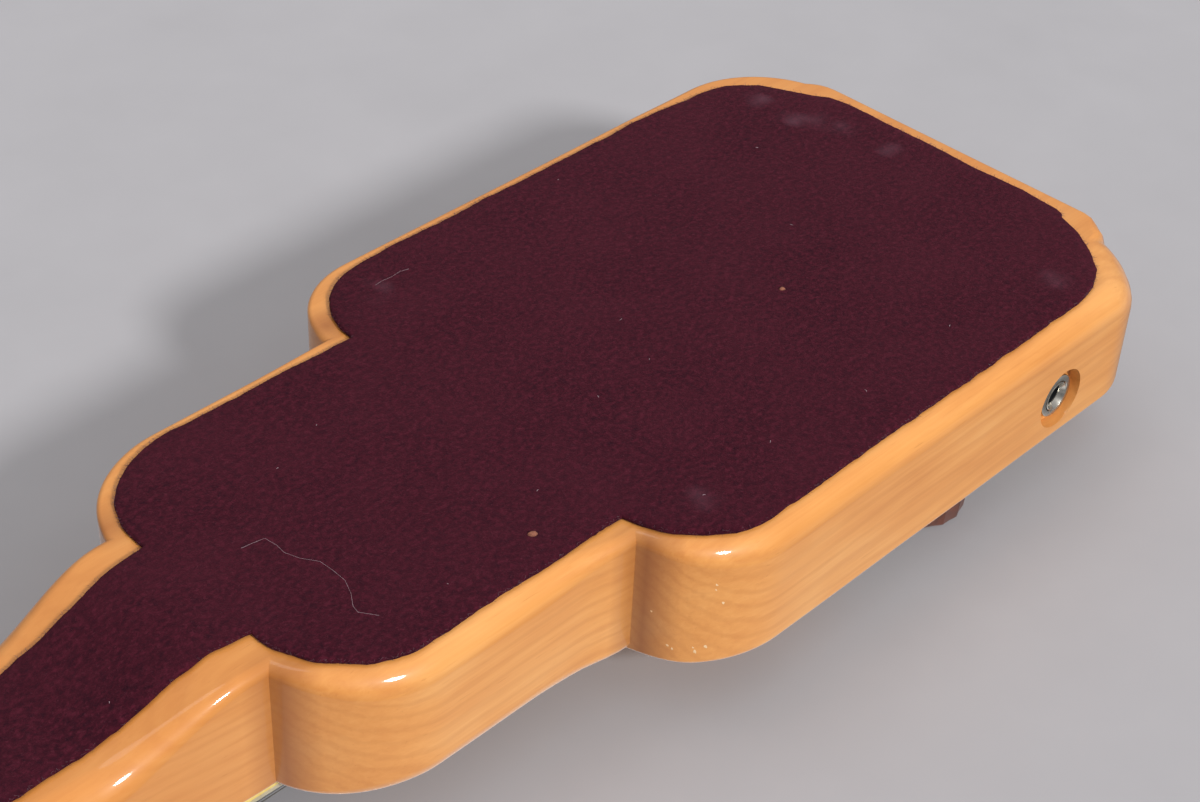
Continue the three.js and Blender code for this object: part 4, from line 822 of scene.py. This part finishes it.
class LAPSTEEL_OT_wood(bpy.types.Operator):
    """Makes the wooden body, neck and headstock in one piece"""
    bl_idname = "lapsteel.wood"
    bl_label = "Wood"

    def execute(self, context):
        settings = context.scene.lap_steel_body
        radii = (settings.back_edge_radius / MM, settings.front_edge_radius / MM)
        uneven = settings.unevenness
        lower = build_mesh("maple_body", *rounded_prism(
            lower_outline(), WOOD_BACK, WOOD_FRONT, radii, uneven, 0.0, -1.9, worn=1.7), "maple")
        others = [
            build_mesh("middle_bout", *rounded_prism(
                middle_outline(), WOOD_BACK, WOOD_FRONT, (radii[0], 1.6 * radii[1]), uneven,
                7.3, 1.7, 0.9), "maple"),
            build_mesh("neck", *neck_part(), "maple"),
            build_mesh("head", *rounded_prism(
                head_outline(), HEAD_BACK, HEAD_FRONT, (3.2, 2.5), 0.1, 3.1), "maple"),
        ]
        boolean(lower, others, "UNION")
        top = WOOD_FRONT + 2
        cutters = [box_part(*CONTROL_CAVITY, top), box_part(*PICKUP_CAVITY, top),
                   box_part(*LEAD_CHANNEL)]
        holes = [
            (RECESS_RADIUS, 0, 12, (along(JACK), RECESS_FLOOR, JACK_HEIGHT), (0, -1, 0), 64),
            (JACK_HOLE_RADIUS, 0, 16, (along(JACK), -86, JACK_HEIGHT), (0, 1, 0), 32)]
        holes += [(POST_HOLE_RADIUS, 17, 36, (x, y, 0), (0, 0, 1), 24)
                  for _, _, x, y in machine_spots()]
        holes += [(SCREW_HOLE_RADIUS, 29.7, top, (x, y, 0), (0, 0, 1), 16)
                  for x, y, _, _ in screw_spots()]
        for radius, low, high, origin, axis, sides in holes:
            cutters.append(turned([(radius, low), (radius, high)], origin, axis, sides))
        tools = [build_mesh(f"cutter_{i}", *part, "maple") for i, part in enumerate(cutters)]
        boolean(lower, tools, "DIFFERENCE")
        lower.data.polygons.foreach_set("use_smooth", [True] * len(lower.data.polygons))
        lower.data.set_sharp_from_angle(angle=math.radians(32))
        weigh_normals(lower)
        finish_piece(lower, ["wood_body"])
        self.chip_walls(lower)
        return {"FINISHED"}

    def chip_walls(self, wood):
        """Small flakes on the lower bout's wall where the lacquer has chipped to bare wood."""
        draw = random.Random(5)
        chips = []
        bpy.context.evaluated_depsgraph_get().update()
        centre = Vector((along(LOWER_END - LOWER_ARC), LOWER_ARC - LOWER_HALF, 0))
        for x, y, z, size in CHIPS:
            spot = Vector((x, y, z))
            way = (Vector((x, y, 0)) - centre).normalized()
            hit, place, normal, _ = wood.ray_cast((spot + way * 6) * MM, -way)
            if not hit:
                raise RuntimeError("a chip misses the wood")
            across = normal.orthogonal().normalized()
            other = normal.cross(across)
            reaches = [size * draw.uniform(0.5, 1.2) for _ in range(9)]
            rim = [reach * (across * 0.6 * math.cos(FULL_TURN * k / 9)
                            + other * math.sin(FULL_TURN * k / 9))
                   for k, reach in enumerate(reaches)]
            place = place / MM
            chips.append(stack_rings([[place + p - normal * 0.3 for p in rim],
                                      [place + p * 0.9 + normal * 0.05 for p in rim]]))
        add_piece("lacquer_chips", merge_parts(chips), "raw")


# Felt
def felt_edge():
    """The felt's plan outline, anticlockwise, from the tail along the treble side."""
    middle, middle_arc = MIDDLE_HALF - FELT_INSET, MIDDLE_ARC - FELT_INSET
    middle_x = along(MIDDLE_END - FELT_INSET - middle_arc)
    side = arc((middle_x, middle - middle_arc), middle_arc, 90, 0, 24)
    start = along(MIDDLE_END - FELT_INSET)
    heel_end = along(MIDDLE_END + HEEL_LENGTH)
    bend = along(MIDDLE_END + HEEL_LENGTH / 2)
    side += quadratic((start, FELT_NOTCH_HALF), (bend, FELT_STRIP_HALF),
                      (heel_end, FELT_STRIP_HALF), 16)
    end = along(NUT - 14)
    side.append((heel_end, FELT_STRIP_HALF))
    side += quadratic((end - 8, FELT_STRIP_HALF), (end, FELT_STRIP_HALF),
                      (end, FELT_STRIP_HALF - 8), 8)
    side.append((end, FELT_STRIP_HALF - 8))
    treble, bass = (
        [(along(station), y) for station, y in corner] + felt_bout(radius, middle) + side
        for corner, radius in ((FELT_TREBLE_CORNER, LOWER_ARC - FELT_INSET),
                               (FELT_BASS_CORNER, FELT_BASS_ARC)))
    return [(x, -y) for x, y in treble] + bass[::-1]


def felt_bout(radius, middle):
    """The felt's edge round the lower bout, as far as the first notch."""
    half = LOWER_HALF - FELT_INSET
    centre = (along(LOWER_END - FELT_INSET - radius), half - radius)
    stop = math.degrees(math.asin((middle - half + radius) / radius))
    return arc(centre, radius, 90, stop, 24)


def ragged(outline, amount):
    """The outline moved in and out a little, as scissors leave it."""
    normals = outward(outline)
    result = []
    for (x, y), n in zip(outline, normals):
        wander = noise.noise(Vector((x / 21, y / 21, 4.0)))
        snip = noise.noise(Vector((x / 6, y / 6, 8.0)))
        fray = noise.noise(Vector((x / 1.3, y / 1.3, 2.0)))
        move = amount * (1.7 * wander + 0.8 * snip + 0.4 * fray)
        result.append((x + n.x * move, y + n.y * move))
    return result


def felt_height(x):
    """Height of the felt's face at a place along X."""
    return heel_rise(x + OVERALL_LENGTH / 2)


class LAPSTEEL_OT_felt(bpy.types.Operator):
    """Makes the felt sheet glued to the back, with its loose fibres and lint"""
    bl_idname = "lapsteel.felt"
    bl_label = "Felt"

    def execute(self, context):
        settings = context.scene.lap_steel_body
        thickness = settings.felt_thickness / MM
        edge = ragged(spaced(felt_edge(), 1.3), settings.felt_raggedness / MM)
        normals = outward(edge)
        count = len(edge)
        # Plan of the face inside its rounded edge, with a grid of points that carries the nap
        inner = [(x - n.x * 0.95, y - n.y * 0.95) for (x, y), n in zip(edge, normals)]
        grid = []
        step, length, width = 4.0, 620, 160
        for i in range(int(length / step)):
            for j in range(int(width / step)):
                spot = (along(8) + (i + 0.5 * (j % 2)) * step, j * step - width / 2)
                if inside(spot, inner, 1.6):
                    grid.append(spot)
        plan = [Vector(p) for p in inner + grid]
        ring = [(i, (i + 1) % count) for i in range(count)]
        points2d, _, faces2d, originals, _, _ = delaunay_2d_cdt(plan, ring, [], 1, 1e-5)
        face_points = []
        place = {}
        for i, p in enumerate(points2d):
            for original in originals[i]:
                place[original] = i
            lump = noise.fractal(Vector((p.x / 9, p.y / 9, 0)), 1.0, 2.0, 4)
            rim = 0.0 if originals[i] and originals[i][0] < count else 1.0
            face_points.append(Vector((p.x, p.y, felt_height(p.x) + 0.1 + 0.09 * lump * rim)))
        faces = [list(face)[::-1] for face in faces2d]
        rings = []
        for inset, height in ((0.4, 0.35), (0.1, 0.8), (0.0, thickness - 0.4), (0.3, thickness)):
            rings.append([
                Vector((x - n.x * inset, y - n.y * inset, felt_height(x) + height))
                for (x, y), n in zip(edge, normals)])
        points = face_points + [p for ring in rings for p in ring]
        # The hidden glued side, from the same plan
        back = len(points)
        points += [Vector((p.x, p.y, p.z + thickness)) for p in face_points]
        faces += [[back + i for i in face] for face in faces2d]
        first = [place[i] for i in range(count)]
        faces += walls([first, *number_rings(rings, len(face_points)), [back + i for i in first]])
        felt = add_piece("felt_pad", (points, faces), "felt", ["felt_backing"], angle=60)
        rubbed = felt.data.attributes.new("rubbed", "FLOAT", "POINT")
        for i, p in enumerate(face_points):
            rubbed.data[i].value = sum(
                RUBBED_SHARE * math.exp(-((p.x - x) ** 2 + (p.y - y) ** 2) / (size * size))
                * max(0.6 + noise.noise(p / 2.5), 0) for x, y, size in RUBBED)
        fuzz = self.make_fuzz(edge, normals, thickness)
        self.make_lint()
        return {"FINISHED"}

    def make_fuzz(self, edge, normals, thickness):
        """Short wool fibres that stand out of the cut edge."""
        draw = random.Random(11)
        parts = []
        for _ in range(FIBRE_COUNT):
            i = draw.randrange(len(edge))
            x, y = edge[i]
            n = normals[i]
            height = felt_height(x) + draw.uniform(0.15, thickness - 0.3)
            start = Vector((x - n.x * 0.4, y - n.y * 0.4, height))
            lean = Vector((n.x, n.y, draw.uniform(-0.7, 0.15)))
            lean += Vector((-n.y, n.x, 0)) * draw.uniform(-1.3, 1.3)
            length = draw.uniform(0.6, 1.5)
            middle = start + lean.normalized() * length * 0.6
            tip = middle + (lean.normalized() + Vector((
                draw.uniform(-0.8, 0.8), draw.uniform(-0.8, 0.8), draw.uniform(-0.3, 0.3)
            ))).normalized() * length * 0.5
            tip.z = max(tip.z, felt_height(tip.x) + 0.02)
            parts.append(swept([start, middle, tip], [0.045, 0.035, 0.01], 3))
        return add_piece("felt_edge_fibres", merge_parts(parts), "fuzz", angle=80)

    def make_lint(self):
        """What the felt has picked up: two hairs, specks and crumbs."""
        draw = random.Random(23)
        lint = [swept([self.on_felt(x, y, 0.1) for x, y in hair], 0.045, 4) for hair in HAIRS]
        for _ in range(SPECK_COUNT):
            x, y = draw.uniform(along(20), along(560)), draw.uniform(-74, 74)
            if not inside((x, y), felt_edge(), 4.0):
                continue
            turn, bend = draw.uniform(0, FULL_TURN), draw.uniform(-0.9, 0.9)
            reach = draw.uniform(0.5, 1.2)
            path = []
            for k in range(4):
                x += reach / 3 * math.cos(turn + bend * k)
                y += reach / 3 * math.sin(turn + bend * k)
                path.append(self.on_felt(x, y, 0.06))
            lint.append(swept(path, [0.06, 0.1, 0.08, 0.03], 4))
        add_piece("felt_lint", merge_parts(lint), "lint", angle=80)
        crumbs = []
        for x, y, size in ((-157.9, -42.1, 1.1), (-285.9, -15.0, 0.8)):
            middle = self.on_felt(x, y, 0.15)
            lumps = [(0.2, -1.0), (0.7, -0.6), (0.9, 0.0), (0.6, 0.6), (0.15, 0.9)]
            points, faces = turned([(size * r, size * 1.3 * h) for r, h in lumps], middle,
                                   (0.8, 0.6, 0.1), 10)
            crumbs.append(([p + Vector((0, 0, 0.35 * size * noise.noise(p * 1.3)))
                            for p in points], faces))
        add_piece("felt_crumbs", merge_parts(crumbs), "crumb", angle=50)

    def on_felt(self, x, y, lift):
        """A point that lies on the felt's face, raised off it a little."""
        return Vector((x, y, felt_height(x) + lift))


def inside(spot, outline, margin):
    """Whether a plan point is inside an outline and at least a margin from its edge."""
    x, y = spot
    crossing = False
    for (ax, ay), (bx, by) in zip(outline, outline[1:] + outline[:1]):
        if (ay > y) != (by > y) and x < (bx - ax) * (y - ay) / (by - ay) + ax:
            crossing = not crossing
    if not crossing:
        return False
    return all((ax - x) ** 2 + (ay - y) ** 2 > margin ** 2 for ax, ay in outline)


# Fittings that stay as the CAD nodes, with a finish, softened edges and even shading
def dress(node, material, edge_mm=0.0):
    """Gives a CAD node its finish; an edge radius rounds its hard edges."""
    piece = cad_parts[node]
    piece.data.materials.clear()
    piece.data.materials.append(material_for(material))
    if piece.data.attributes.get("custom_normal"):
        piece.data.attributes.remove(piece.data.attributes["custom_normal"])
    piece.data.polygons.foreach_set("use_smooth", [True] * len(piece.data.polygons))
    weld = piece.modifiers.new("weld", "WELD")
    weld.merge_threshold = 0.005 * MM
    flat = piece.modifiers.new("whole_faces", "DECIMATE")
    flat.decimate_type = "DISSOLVE"
    flat.angle_limit = math.radians(0.8)
    if edge_mm:
        bevel = piece.modifiers.new("soft_edges", "BEVEL")
        bevel.width = edge_mm * MM
        bevel.segments = 2
        bevel.limit_method = "ANGLE"
        bevel.angle_limit = math.radians(40)
        bevel.use_clamp_overlap = False
    weigh_normals(piece)


def screw_part(x, y, seat, radius=3.4, height=1.4, axis=1.0, turn=0.4):
    """A round-head screw's head with a slot, standing on a seat."""
    profile = [(0.01, -0.3), (radius, -0.3), (radius, 0.1)]
    for i in range(1, 8):
        angle = QUARTER_TURN * i / 7
        profile.append((max(radius * math.cos(angle), 0.01), 0.1 + (height - 0.1) * math.sin(angle)))
    head = build_mesh("head", *turned(profile, (0, 0, 0), (0, 0, 1), 40), "steel")
    slot = build_mesh("slot", *box_part(-radius - 1, radius + 1, -0.45, 0.45,
                                        height - 0.75, height + 1), "steel")
    boolean(head, [slot], "DIFFERENCE")
    spin = Matrix.Rotation(turn, 4, "Z")
    flip = Matrix.Diagonal((1, 1, axis, 1))
    points = [flip @ spin @ v.co / MM + Vector((x, y, seat)) for v in head.data.vertices]
    faces = [list(p.vertices) if axis > 0 else list(p.vertices)[::-1]
             for p in head.data.polygons]
    bpy.data.objects.remove(head)
    return points, faces


class LAPSTEEL_OT_fittings(bpy.types.Operator):
    """Finishes the fretboard, nut, bridge, pickup, control plate and their screws"""
    bl_idname = "lapsteel.fittings"
    bl_label = "Fittings"

    def execute(self, context):
        for node, material, edge in (
                ("fretboard_core", "cream", 0.3), ("fretboard_face", "board_face", 0.0),
                ("string_nut", "bone", 0.25), ("bridge_base", "nickel", 0.4),
                ("bridge_saddle", "nickel", 0.15), ("pickup_cover", "nickel", 0.25),
                ("pickup_blade", "steel", 0.3), ("pickup_bobbin", "black_plastic", 0.2),
                ("pickup_coil", "copper", 0.3), ("pickup_magnet", "magnet", 0.2),
                ("control_plate", "nickel", 0.35), ("volume_pot_case", "steel", 0.3),
                ("volume_pot_shaft", "steel", 0.2), ("volume_pot_nut", "nickel", 0.2),
                ("jack_insulator", "fibre", 0.2), ("jack_tip_spring", "steel", 0.1),
                ("pickup_lead", "cloth", 0.0), ("jack_lead", "cloth", 0.0),
                ("bass_tuner_plate", "nickel", 0.2), ("treble_tuner_plate", "nickel", 0.2)):
            dress(node, material, edge)
        for i, (x, y, seat, node) in enumerate(screw_spots()):
            head = screw_part(x, y, seat + 0.3, turn=0.4 + 1.1 * i)
            shank = turned([(0.3, -11.6), (1.5, -7.5), (1.5, 0.05)], (x, y, seat + 0.3),
                           (0, 0, 1), 16)
            add_piece(f"{node}_head", merge_parts([head, shank]), "steel", [node])
        return {"FINISHED"}


class LAPSTEEL_OT_strings(bpy.types.Operator):
    """Strings the guitar, from the ball ends to the turns round the posts"""
    bl_idname = "lapsteel.strings"
    bl_label = "Strings"

    def execute(self, context):
        machines = machine_spots()
        # The middle strings wind on the posts nearest the nut, the outer ones on the furthest
        order = (2, 1, 0, 3, 4, 5)
        hole_height, anchor = 52.8, along(BRIDGE_WALL) + 5.8
        for i, share in enumerate(STRING_SHARES):
            radius = STRING_DIAMETERS[i] / 2
            _, side, post_x, post_y = machines[order[i]]
            saddle_y, nut_y = share * SPREAD_AT_SADDLE, share * SPREAD_AT_NUT
            ball_x = anchor - 2.2
            path = [(ball_x, saddle_y, hole_height), (anchor + 4.3, saddle_y, hole_height)]
            for k in range(7):
                lean = QUARTER_TURN * (k / 6 - 0.5)
                path.append((along(SADDLE) + 1.4 * math.sin(lean), saddle_y,
                             STRING_HEIGHT - 0.2 + 0.28 * math.cos(lean)))
            path += [(along(NUT) - 2.5, nut_y, STRING_HEIGHT),
                     (along(NUT) + 2.8, nut_y, STRING_HEIGHT - 0.05)]
            wrap = POST_RADIUS + 0.3 + radius
            for k in range(49):
                turn = FULL_TURN * k / 24
                path.append((post_x + wrap * math.sin(turn),
                             post_y - side * wrap * math.cos(turn),
                             POST_TOP - 4.6 - 1.6 * k / 24))
            ball = turned([(0.2, -1.4), (1.5, -1.4), (1.9, -1.0), (1.6, 0), (1.9, 1.0),
                           (1.5, 1.4), (0.2, 1.4)], (ball_x, saddle_y, hole_height),
                          (0, 1, 0), 24)
            wire = "wound" if i < 3 else "steel"
            add_piece(f"string_{i + 1}_wire", swept(path, radius, 12), wire,
                      [f"string_{i + 1}"], angle=60)
            add_piece(f"string_{i + 1}_ball", ball, "brass")
        return {"FINISHED"}


def knob_parts():
    """A scalloped knob with sharp ridges, wider at its base, and its pointer line."""
    x, low, height, steps = along(VOLUME), KNOB_SEAT, KNOB_HEIGHT, 12
    segments = KNOB_FLUTES * steps
    across, other = Vector((1, 0, 0)), Vector((0, 1, 0))
    # From the bore for the shaft, through the recess that clears the nut, to the outside
    rings = [circle(Vector((x, CONTROL_Y, low + level)), across, other, radius, segments)
             for radius, level in ((3.3, 12.5), (3.3, 4.2), (8.4, 4.2), (8.4, 0.0))]
    levels = [(0.0, share) for share in (0.0, 0.04, 0.15, 0.3, 0.45, 0.6, 0.75, 0.93)]
    for k in range(1, 8):
        angle = QUARTER_TURN * k / 7
        levels.append((1.2 * (1 - math.cos(angle)), 0.93 + 0.07 * math.sin(angle)))
    levels += [(2.6, 1.0), (3.8, 0.975), (8.0, 0.965)]
    for inset, share in levels:
        ring = []
        for i in range(segments):
            angle = FULL_TURN * i / segments
            dip = abs(math.sin(angle * KNOB_FLUTES / 2))
            fade = 1 - min(inset / 3.2, 1)
            radius = KNOB_RADIUS + KNOB_FLARE * (1 - share) - KNOB_FLUTE_DEPTH * dip * fade - inset
            ring.append(Vector((x + radius * math.cos(angle),
                                CONTROL_Y + radius * math.sin(angle), low + share * height)))
        rings.append(ring)
    top = low + height
    pointer = box_part(x - 0.6, x + 0.6, CONTROL_Y + 3.5, CONTROL_Y + 10.2, top - 0.7, top + 0.06)
    return stack_rings(rings), pointer


class LAPSTEEL_OT_controls(bpy.types.Operator):
    """Makes the volume knob and the output jack in the side"""
    bl_idname = "lapsteel.controls"
    bl_label = "Controls"

    def execute(self, context):
        knob, pointer = knob_parts()
        add_piece("volume_scalloped_knob", knob, "phenolic", ["volume_knob"],
                  "volume_control")
        add_piece("volume_pointer", pointer, "pointer", body="volume_control")
        x, z = along(JACK), JACK_HEIGHT
        outwards = (0, -1, 0)
        seat = (x, RECESS_FLOOR - 0.3, z)
        bushing_radius, bore_radius = 4.75, 3.25
        nut = turned_ring([
            (4.95, 0.0), (6.9, 0.0), (7.0, 0.2), (7.0, 1.85), (6.85, 2.1), (6.6, 2.2),
            (5.1, 2.2), (4.95, 2.0)], seat, outwards)
        add_piece("jack_ring_nut", nut, "nickel", ["jack_nut"])
        # The bushing's chamfered mouth is nearly flush with the nut
        bushing = turned_ring([
            (bushing_radius, 2.0), (4.7, 2.25), (4.5, 2.4), (4.3, 2.4), (3.35, 0.9),
            (bore_radius, 0.6), (bore_radius, -8.3), (7.6, -8.3), (7.6, -6.9),
            (bushing_radius, -6.9)], seat, outwards)
        arm = box_part(x - 3.5, x + 3.5, -72.7, -59.7, z + 6.2, z + 7.4)
        add_piece("jack_bushing", merge_parts([bushing, arm]), "nickel",
                  ["jack_frame"])
        # Painted shade: a black liner down the bore darkens the hole
        bore_shade = turned_ring([(3.28, 0.55), (3.2, 0.5), (3.2, -8.2), (3.28, -8.2)],
                              seat, outwards)
        add_piece("jack_bore_shade_liner", bore_shade, "black_plastic")
        return {"FINISHED"}


def button_part(x, side):
    """An oval tuner button with a collar, flatter on its two faces."""
    start = side * BUTTON_START
    half_width, half_length, half_thickness = BUTTON_HALVES
    rows, columns = 20, 32
    rings = []
    for r in range(1, rows):
        polar = HALF_TURN * r / rows
        ring = []
        for c in range(columns):
            turn = FULL_TURN * c / columns
            across = math.copysign(abs(math.cos(turn)) ** BUTTON_FLATNESS, math.cos(turn))
            thick = math.copysign(abs(math.sin(turn)) ** BUTTON_FLATNESS, math.sin(turn))
            ring.append(Vector((
                x + half_width * math.sin(polar) ** BUTTON_FLATNESS * across,
                start + side * (11.5 - half_length * math.cos(polar)),
                WORM_HEIGHT + half_thickness * math.sin(polar) ** BUTTON_FLATNESS * thick)))
        rings.append(ring)
    oval = stack_rings(rings)
    collar = turned([(0.5, 0.0), (2.6, 0.0), (2.9, 0.4), (2.9, 2.6), (2.5, 3.4), (2.7, 5.0),
                     (3.0, 6.6), (0.5, 6.6)], (x, start, WORM_HEIGHT), (0, side, 0), 32)
    return merge_parts([oval, collar])


class LAPSTEEL_OT_tuners(bpy.types.Operator):
    """Finishes the tuning machines and makes their buttons and plate screws"""
    bl_idname = "lapsteel.tuners"
    bl_label = "Tuners"

    def execute(self, context):
        for number, side, x, _ in machine_spots():
            dress(f"tuner_post_{number}", "nickel", 0.12)
            dress(f"tuner_worm_{number}", "steel", 0.0)
            add_piece(f"tuner_{number}_oval_button", button_part(x - WORM_OFFSET, side),
                      "cream", [f"tuner_button_{number}"],
                      f"tuner_shaft_{number}", 50)
        screws = []
        for side in (1, -1):
            for k, station in enumerate((FIRST_POST - 14.5, FIRST_POST + 17, FIRST_POST + 55,
                                         FIRST_POST + 90.5)):
                y = side * (POST_SIDE - (6.5 if 0 < k < 3 else 0))
                screws.append(screw_part(along(station), y, 17.5, 2.3, 1.1, -1.0, 0.7 * k + side))
        add_piece("tuner_plate_screws", merge_parts(screws), "steel")
        return {"FINISHED"}


class LAPSTEEL_OT_stage(bpy.types.Operator):
    """Sets up the two floors, the lamps, the world and the camera"""
    bl_idname = "lapsteel.stage"
    bl_label = "Stage"

    def execute(self, context):
        scene = context.scene
        settings = scene.lap_steel_stage
        # The photograph shows the guitar lying on its front, so one floor touches the knob
        # and faces the back, and the other touches the felt and faces the front
        for name, height, order in (("floor_under_front", 61.6, -1), ("floor_under_felt", -0.4, 1)):
            size = 6000
            corners = [(-size, -size), (size, -size), (size, size), (-size, size)]
            build_mesh(name, [Vector((x, y, height)) for x, y in corners],
                                [[0, 1, 2, 3][::order]], "paper")
        # The lamp above the front gives no highlights and no bounced light, or it would edge
        # the wood in white and glow under it where the guitar lies on its front
        for name, towards, width, share, shines in (
                ("key_beside_back", (0.08, -0.84, -0.54), 9, 1.1, True),
                ("fill_above_back", (0.12, 0.36, -0.92), 24, 0.08, True),
                ("key_above_front", (-0.1, 0.35, 0.93), 30, 0.7, False)):
            lamp = bpy.data.lights.new(name, "SUN")
            lamp.energy = settings.key_strength * share
            lamp.angle = math.radians(width)
            holder = bpy.data.objects.new(name, lamp)
            holder.visible_glossy = shines
            if not shines:
                lamp.cycles.max_bounces = 0
            holder.location = towards
            holder.rotation_euler = (-Vector(towards)).to_track_quat("-Z", "Y").to_euler()
            scene.collection.objects.link(holder)
        world = bpy.data.worlds.new("studio")
        world.use_nodes = True
        tree = world.node_tree
        tree.nodes.clear()
        # Like a room: bright above both faces of the guitar, darker towards the horizon
        way = add_node(tree, "TexCoord").outputs["Generated"]
        height = add_node(tree, "SeparateXYZ", [way]).outputs["Z"]
        place = add_node(tree, "MapRange", (height, -1.0, 1.0, 0.0, 1.0)).outputs["Result"]
        level = add_node(tree, "ValToRGB", [place], stops=[
            (0.0, "#ffffff"), (0.5, "#86868a"), (1.0, "#c9c9cc")]).outputs["Color"]
        shine = add_node(tree, "ValToRGB", [place], stops=[
            (0.0, "#c4c4c8"), (0.5, "#77777a"), (0.68, "#b0b0b3"), (0.76, "#858588"),
            (0.8, "#858588"), (0.93, "#f6f6f8"), (1.0, "#f6f6f8")]).outputs["Color"]
        light, mirrored, seen = (
            add_node(tree, "Background", (colour, strength)).outputs[0]
            for colour, strength in ((level, 1.35 * settings.world_strength), (shine, 1.0),
                                     ("#bdbbbe", 1.0)))
        rays = add_node(tree, "LightPath").outputs
        mix = add_node(tree, "MixShader", (rays["Is Glossy Ray"], light, mirrored)).outputs[0]
        mix = add_node(tree, "MixShader", (rays["Is Camera Ray"], mix, seen)).outputs[0]
        add_node(tree, "OutputWorld", [mix])
        scene.world = world
        scene.view_settings.view_transform = "Standard"
        self.place_camera(scene)
        return {"FINISHED"}

    def place_camera(self, scene):
        """The camera solved from the photograph: a long lens above the felt back."""
        yaw, tilt, roll = (math.radians(a) for a in (42.51, 37.98, 2.84))
        forward = Vector((-math.cos(tilt) * math.cos(yaw), math.cos(tilt) * math.sin(yaw),
                          math.sin(tilt)))
        level = Vector((-math.sin(yaw), -math.cos(yaw), 0))
        upright = level.cross(forward)
        right = math.cos(roll) * level + math.sin(roll) * upright
        upright = -math.sin(roll) * level + math.cos(roll) * upright
        camera = bpy.data.cameras.new("camera")
        camera.lens = 68.03
        camera.sensor_width = 36.0
        camera.clip_start = 0.01
        camera.clip_end = 50.0
        holder = bpy.data.objects.new("camera", camera)
        turn = Matrix((right, upright, -forward)).transposed().to_4x4()
        place = Matrix.Translation((0.1470, -0.34243, -0.37733))
        holder.matrix_world = place @ turn
        scene.collection.objects.link(holder)
        scene.camera = holder


OPERATORS = (LAPSTEEL_OT_wood, LAPSTEEL_OT_felt, LAPSTEEL_OT_fittings, LAPSTEEL_OT_strings,
             LAPSTEEL_OT_controls, LAPSTEEL_OT_tuners, LAPSTEEL_OT_stage)


class LAPSTEEL_PT_panel(bpy.types.Panel):
    """Lists the sizes and the steps that build the guitar"""
    bl_label = "Lap steel"
    bl_idname = "LAPSTEEL_PT_panel"
    bl_space_type = "VIEW_3D"
    bl_region_type = "UI"
    bl_category = "Lap steel"

    def draw(self, context):
        for group in (context.scene.lap_steel_body, context.scene.lap_steel_stage):
            for name in group.__annotations__:
                self.layout.prop(group, name)
        for operator in OPERATORS:
            self.layout.operator(operator.bl_idname)


CLASSES = (LapSteelBody, LapSteelStage, *OPERATORS, LAPSTEEL_PT_panel)


def register():
    for item in CLASSES:
        bpy.utils.register_class(item)
    bpy.types.Scene.lap_steel_body = bpy.props.PointerProperty(type=LapSteelBody)
    bpy.types.Scene.lap_steel_stage = bpy.props.PointerProperty(type=LapSteelStage)


def unregister():
    del bpy.types.Scene.lap_steel_stage
    del bpy.types.Scene.lap_steel_body
    for item in reversed(CLASSES):
        bpy.utils.unregister_class(item)


def main():
    register()
    bpy.ops.lapsteel.wood()
    bpy.ops.lapsteel.felt()
    bpy.ops.lapsteel.fittings()
    bpy.ops.lapsteel.strings()
    bpy.ops.lapsteel.controls()
    bpy.ops.lapsteel.tuners()
    bpy.ops.lapsteel.stage()


if __name__ == "__main__":
    main()
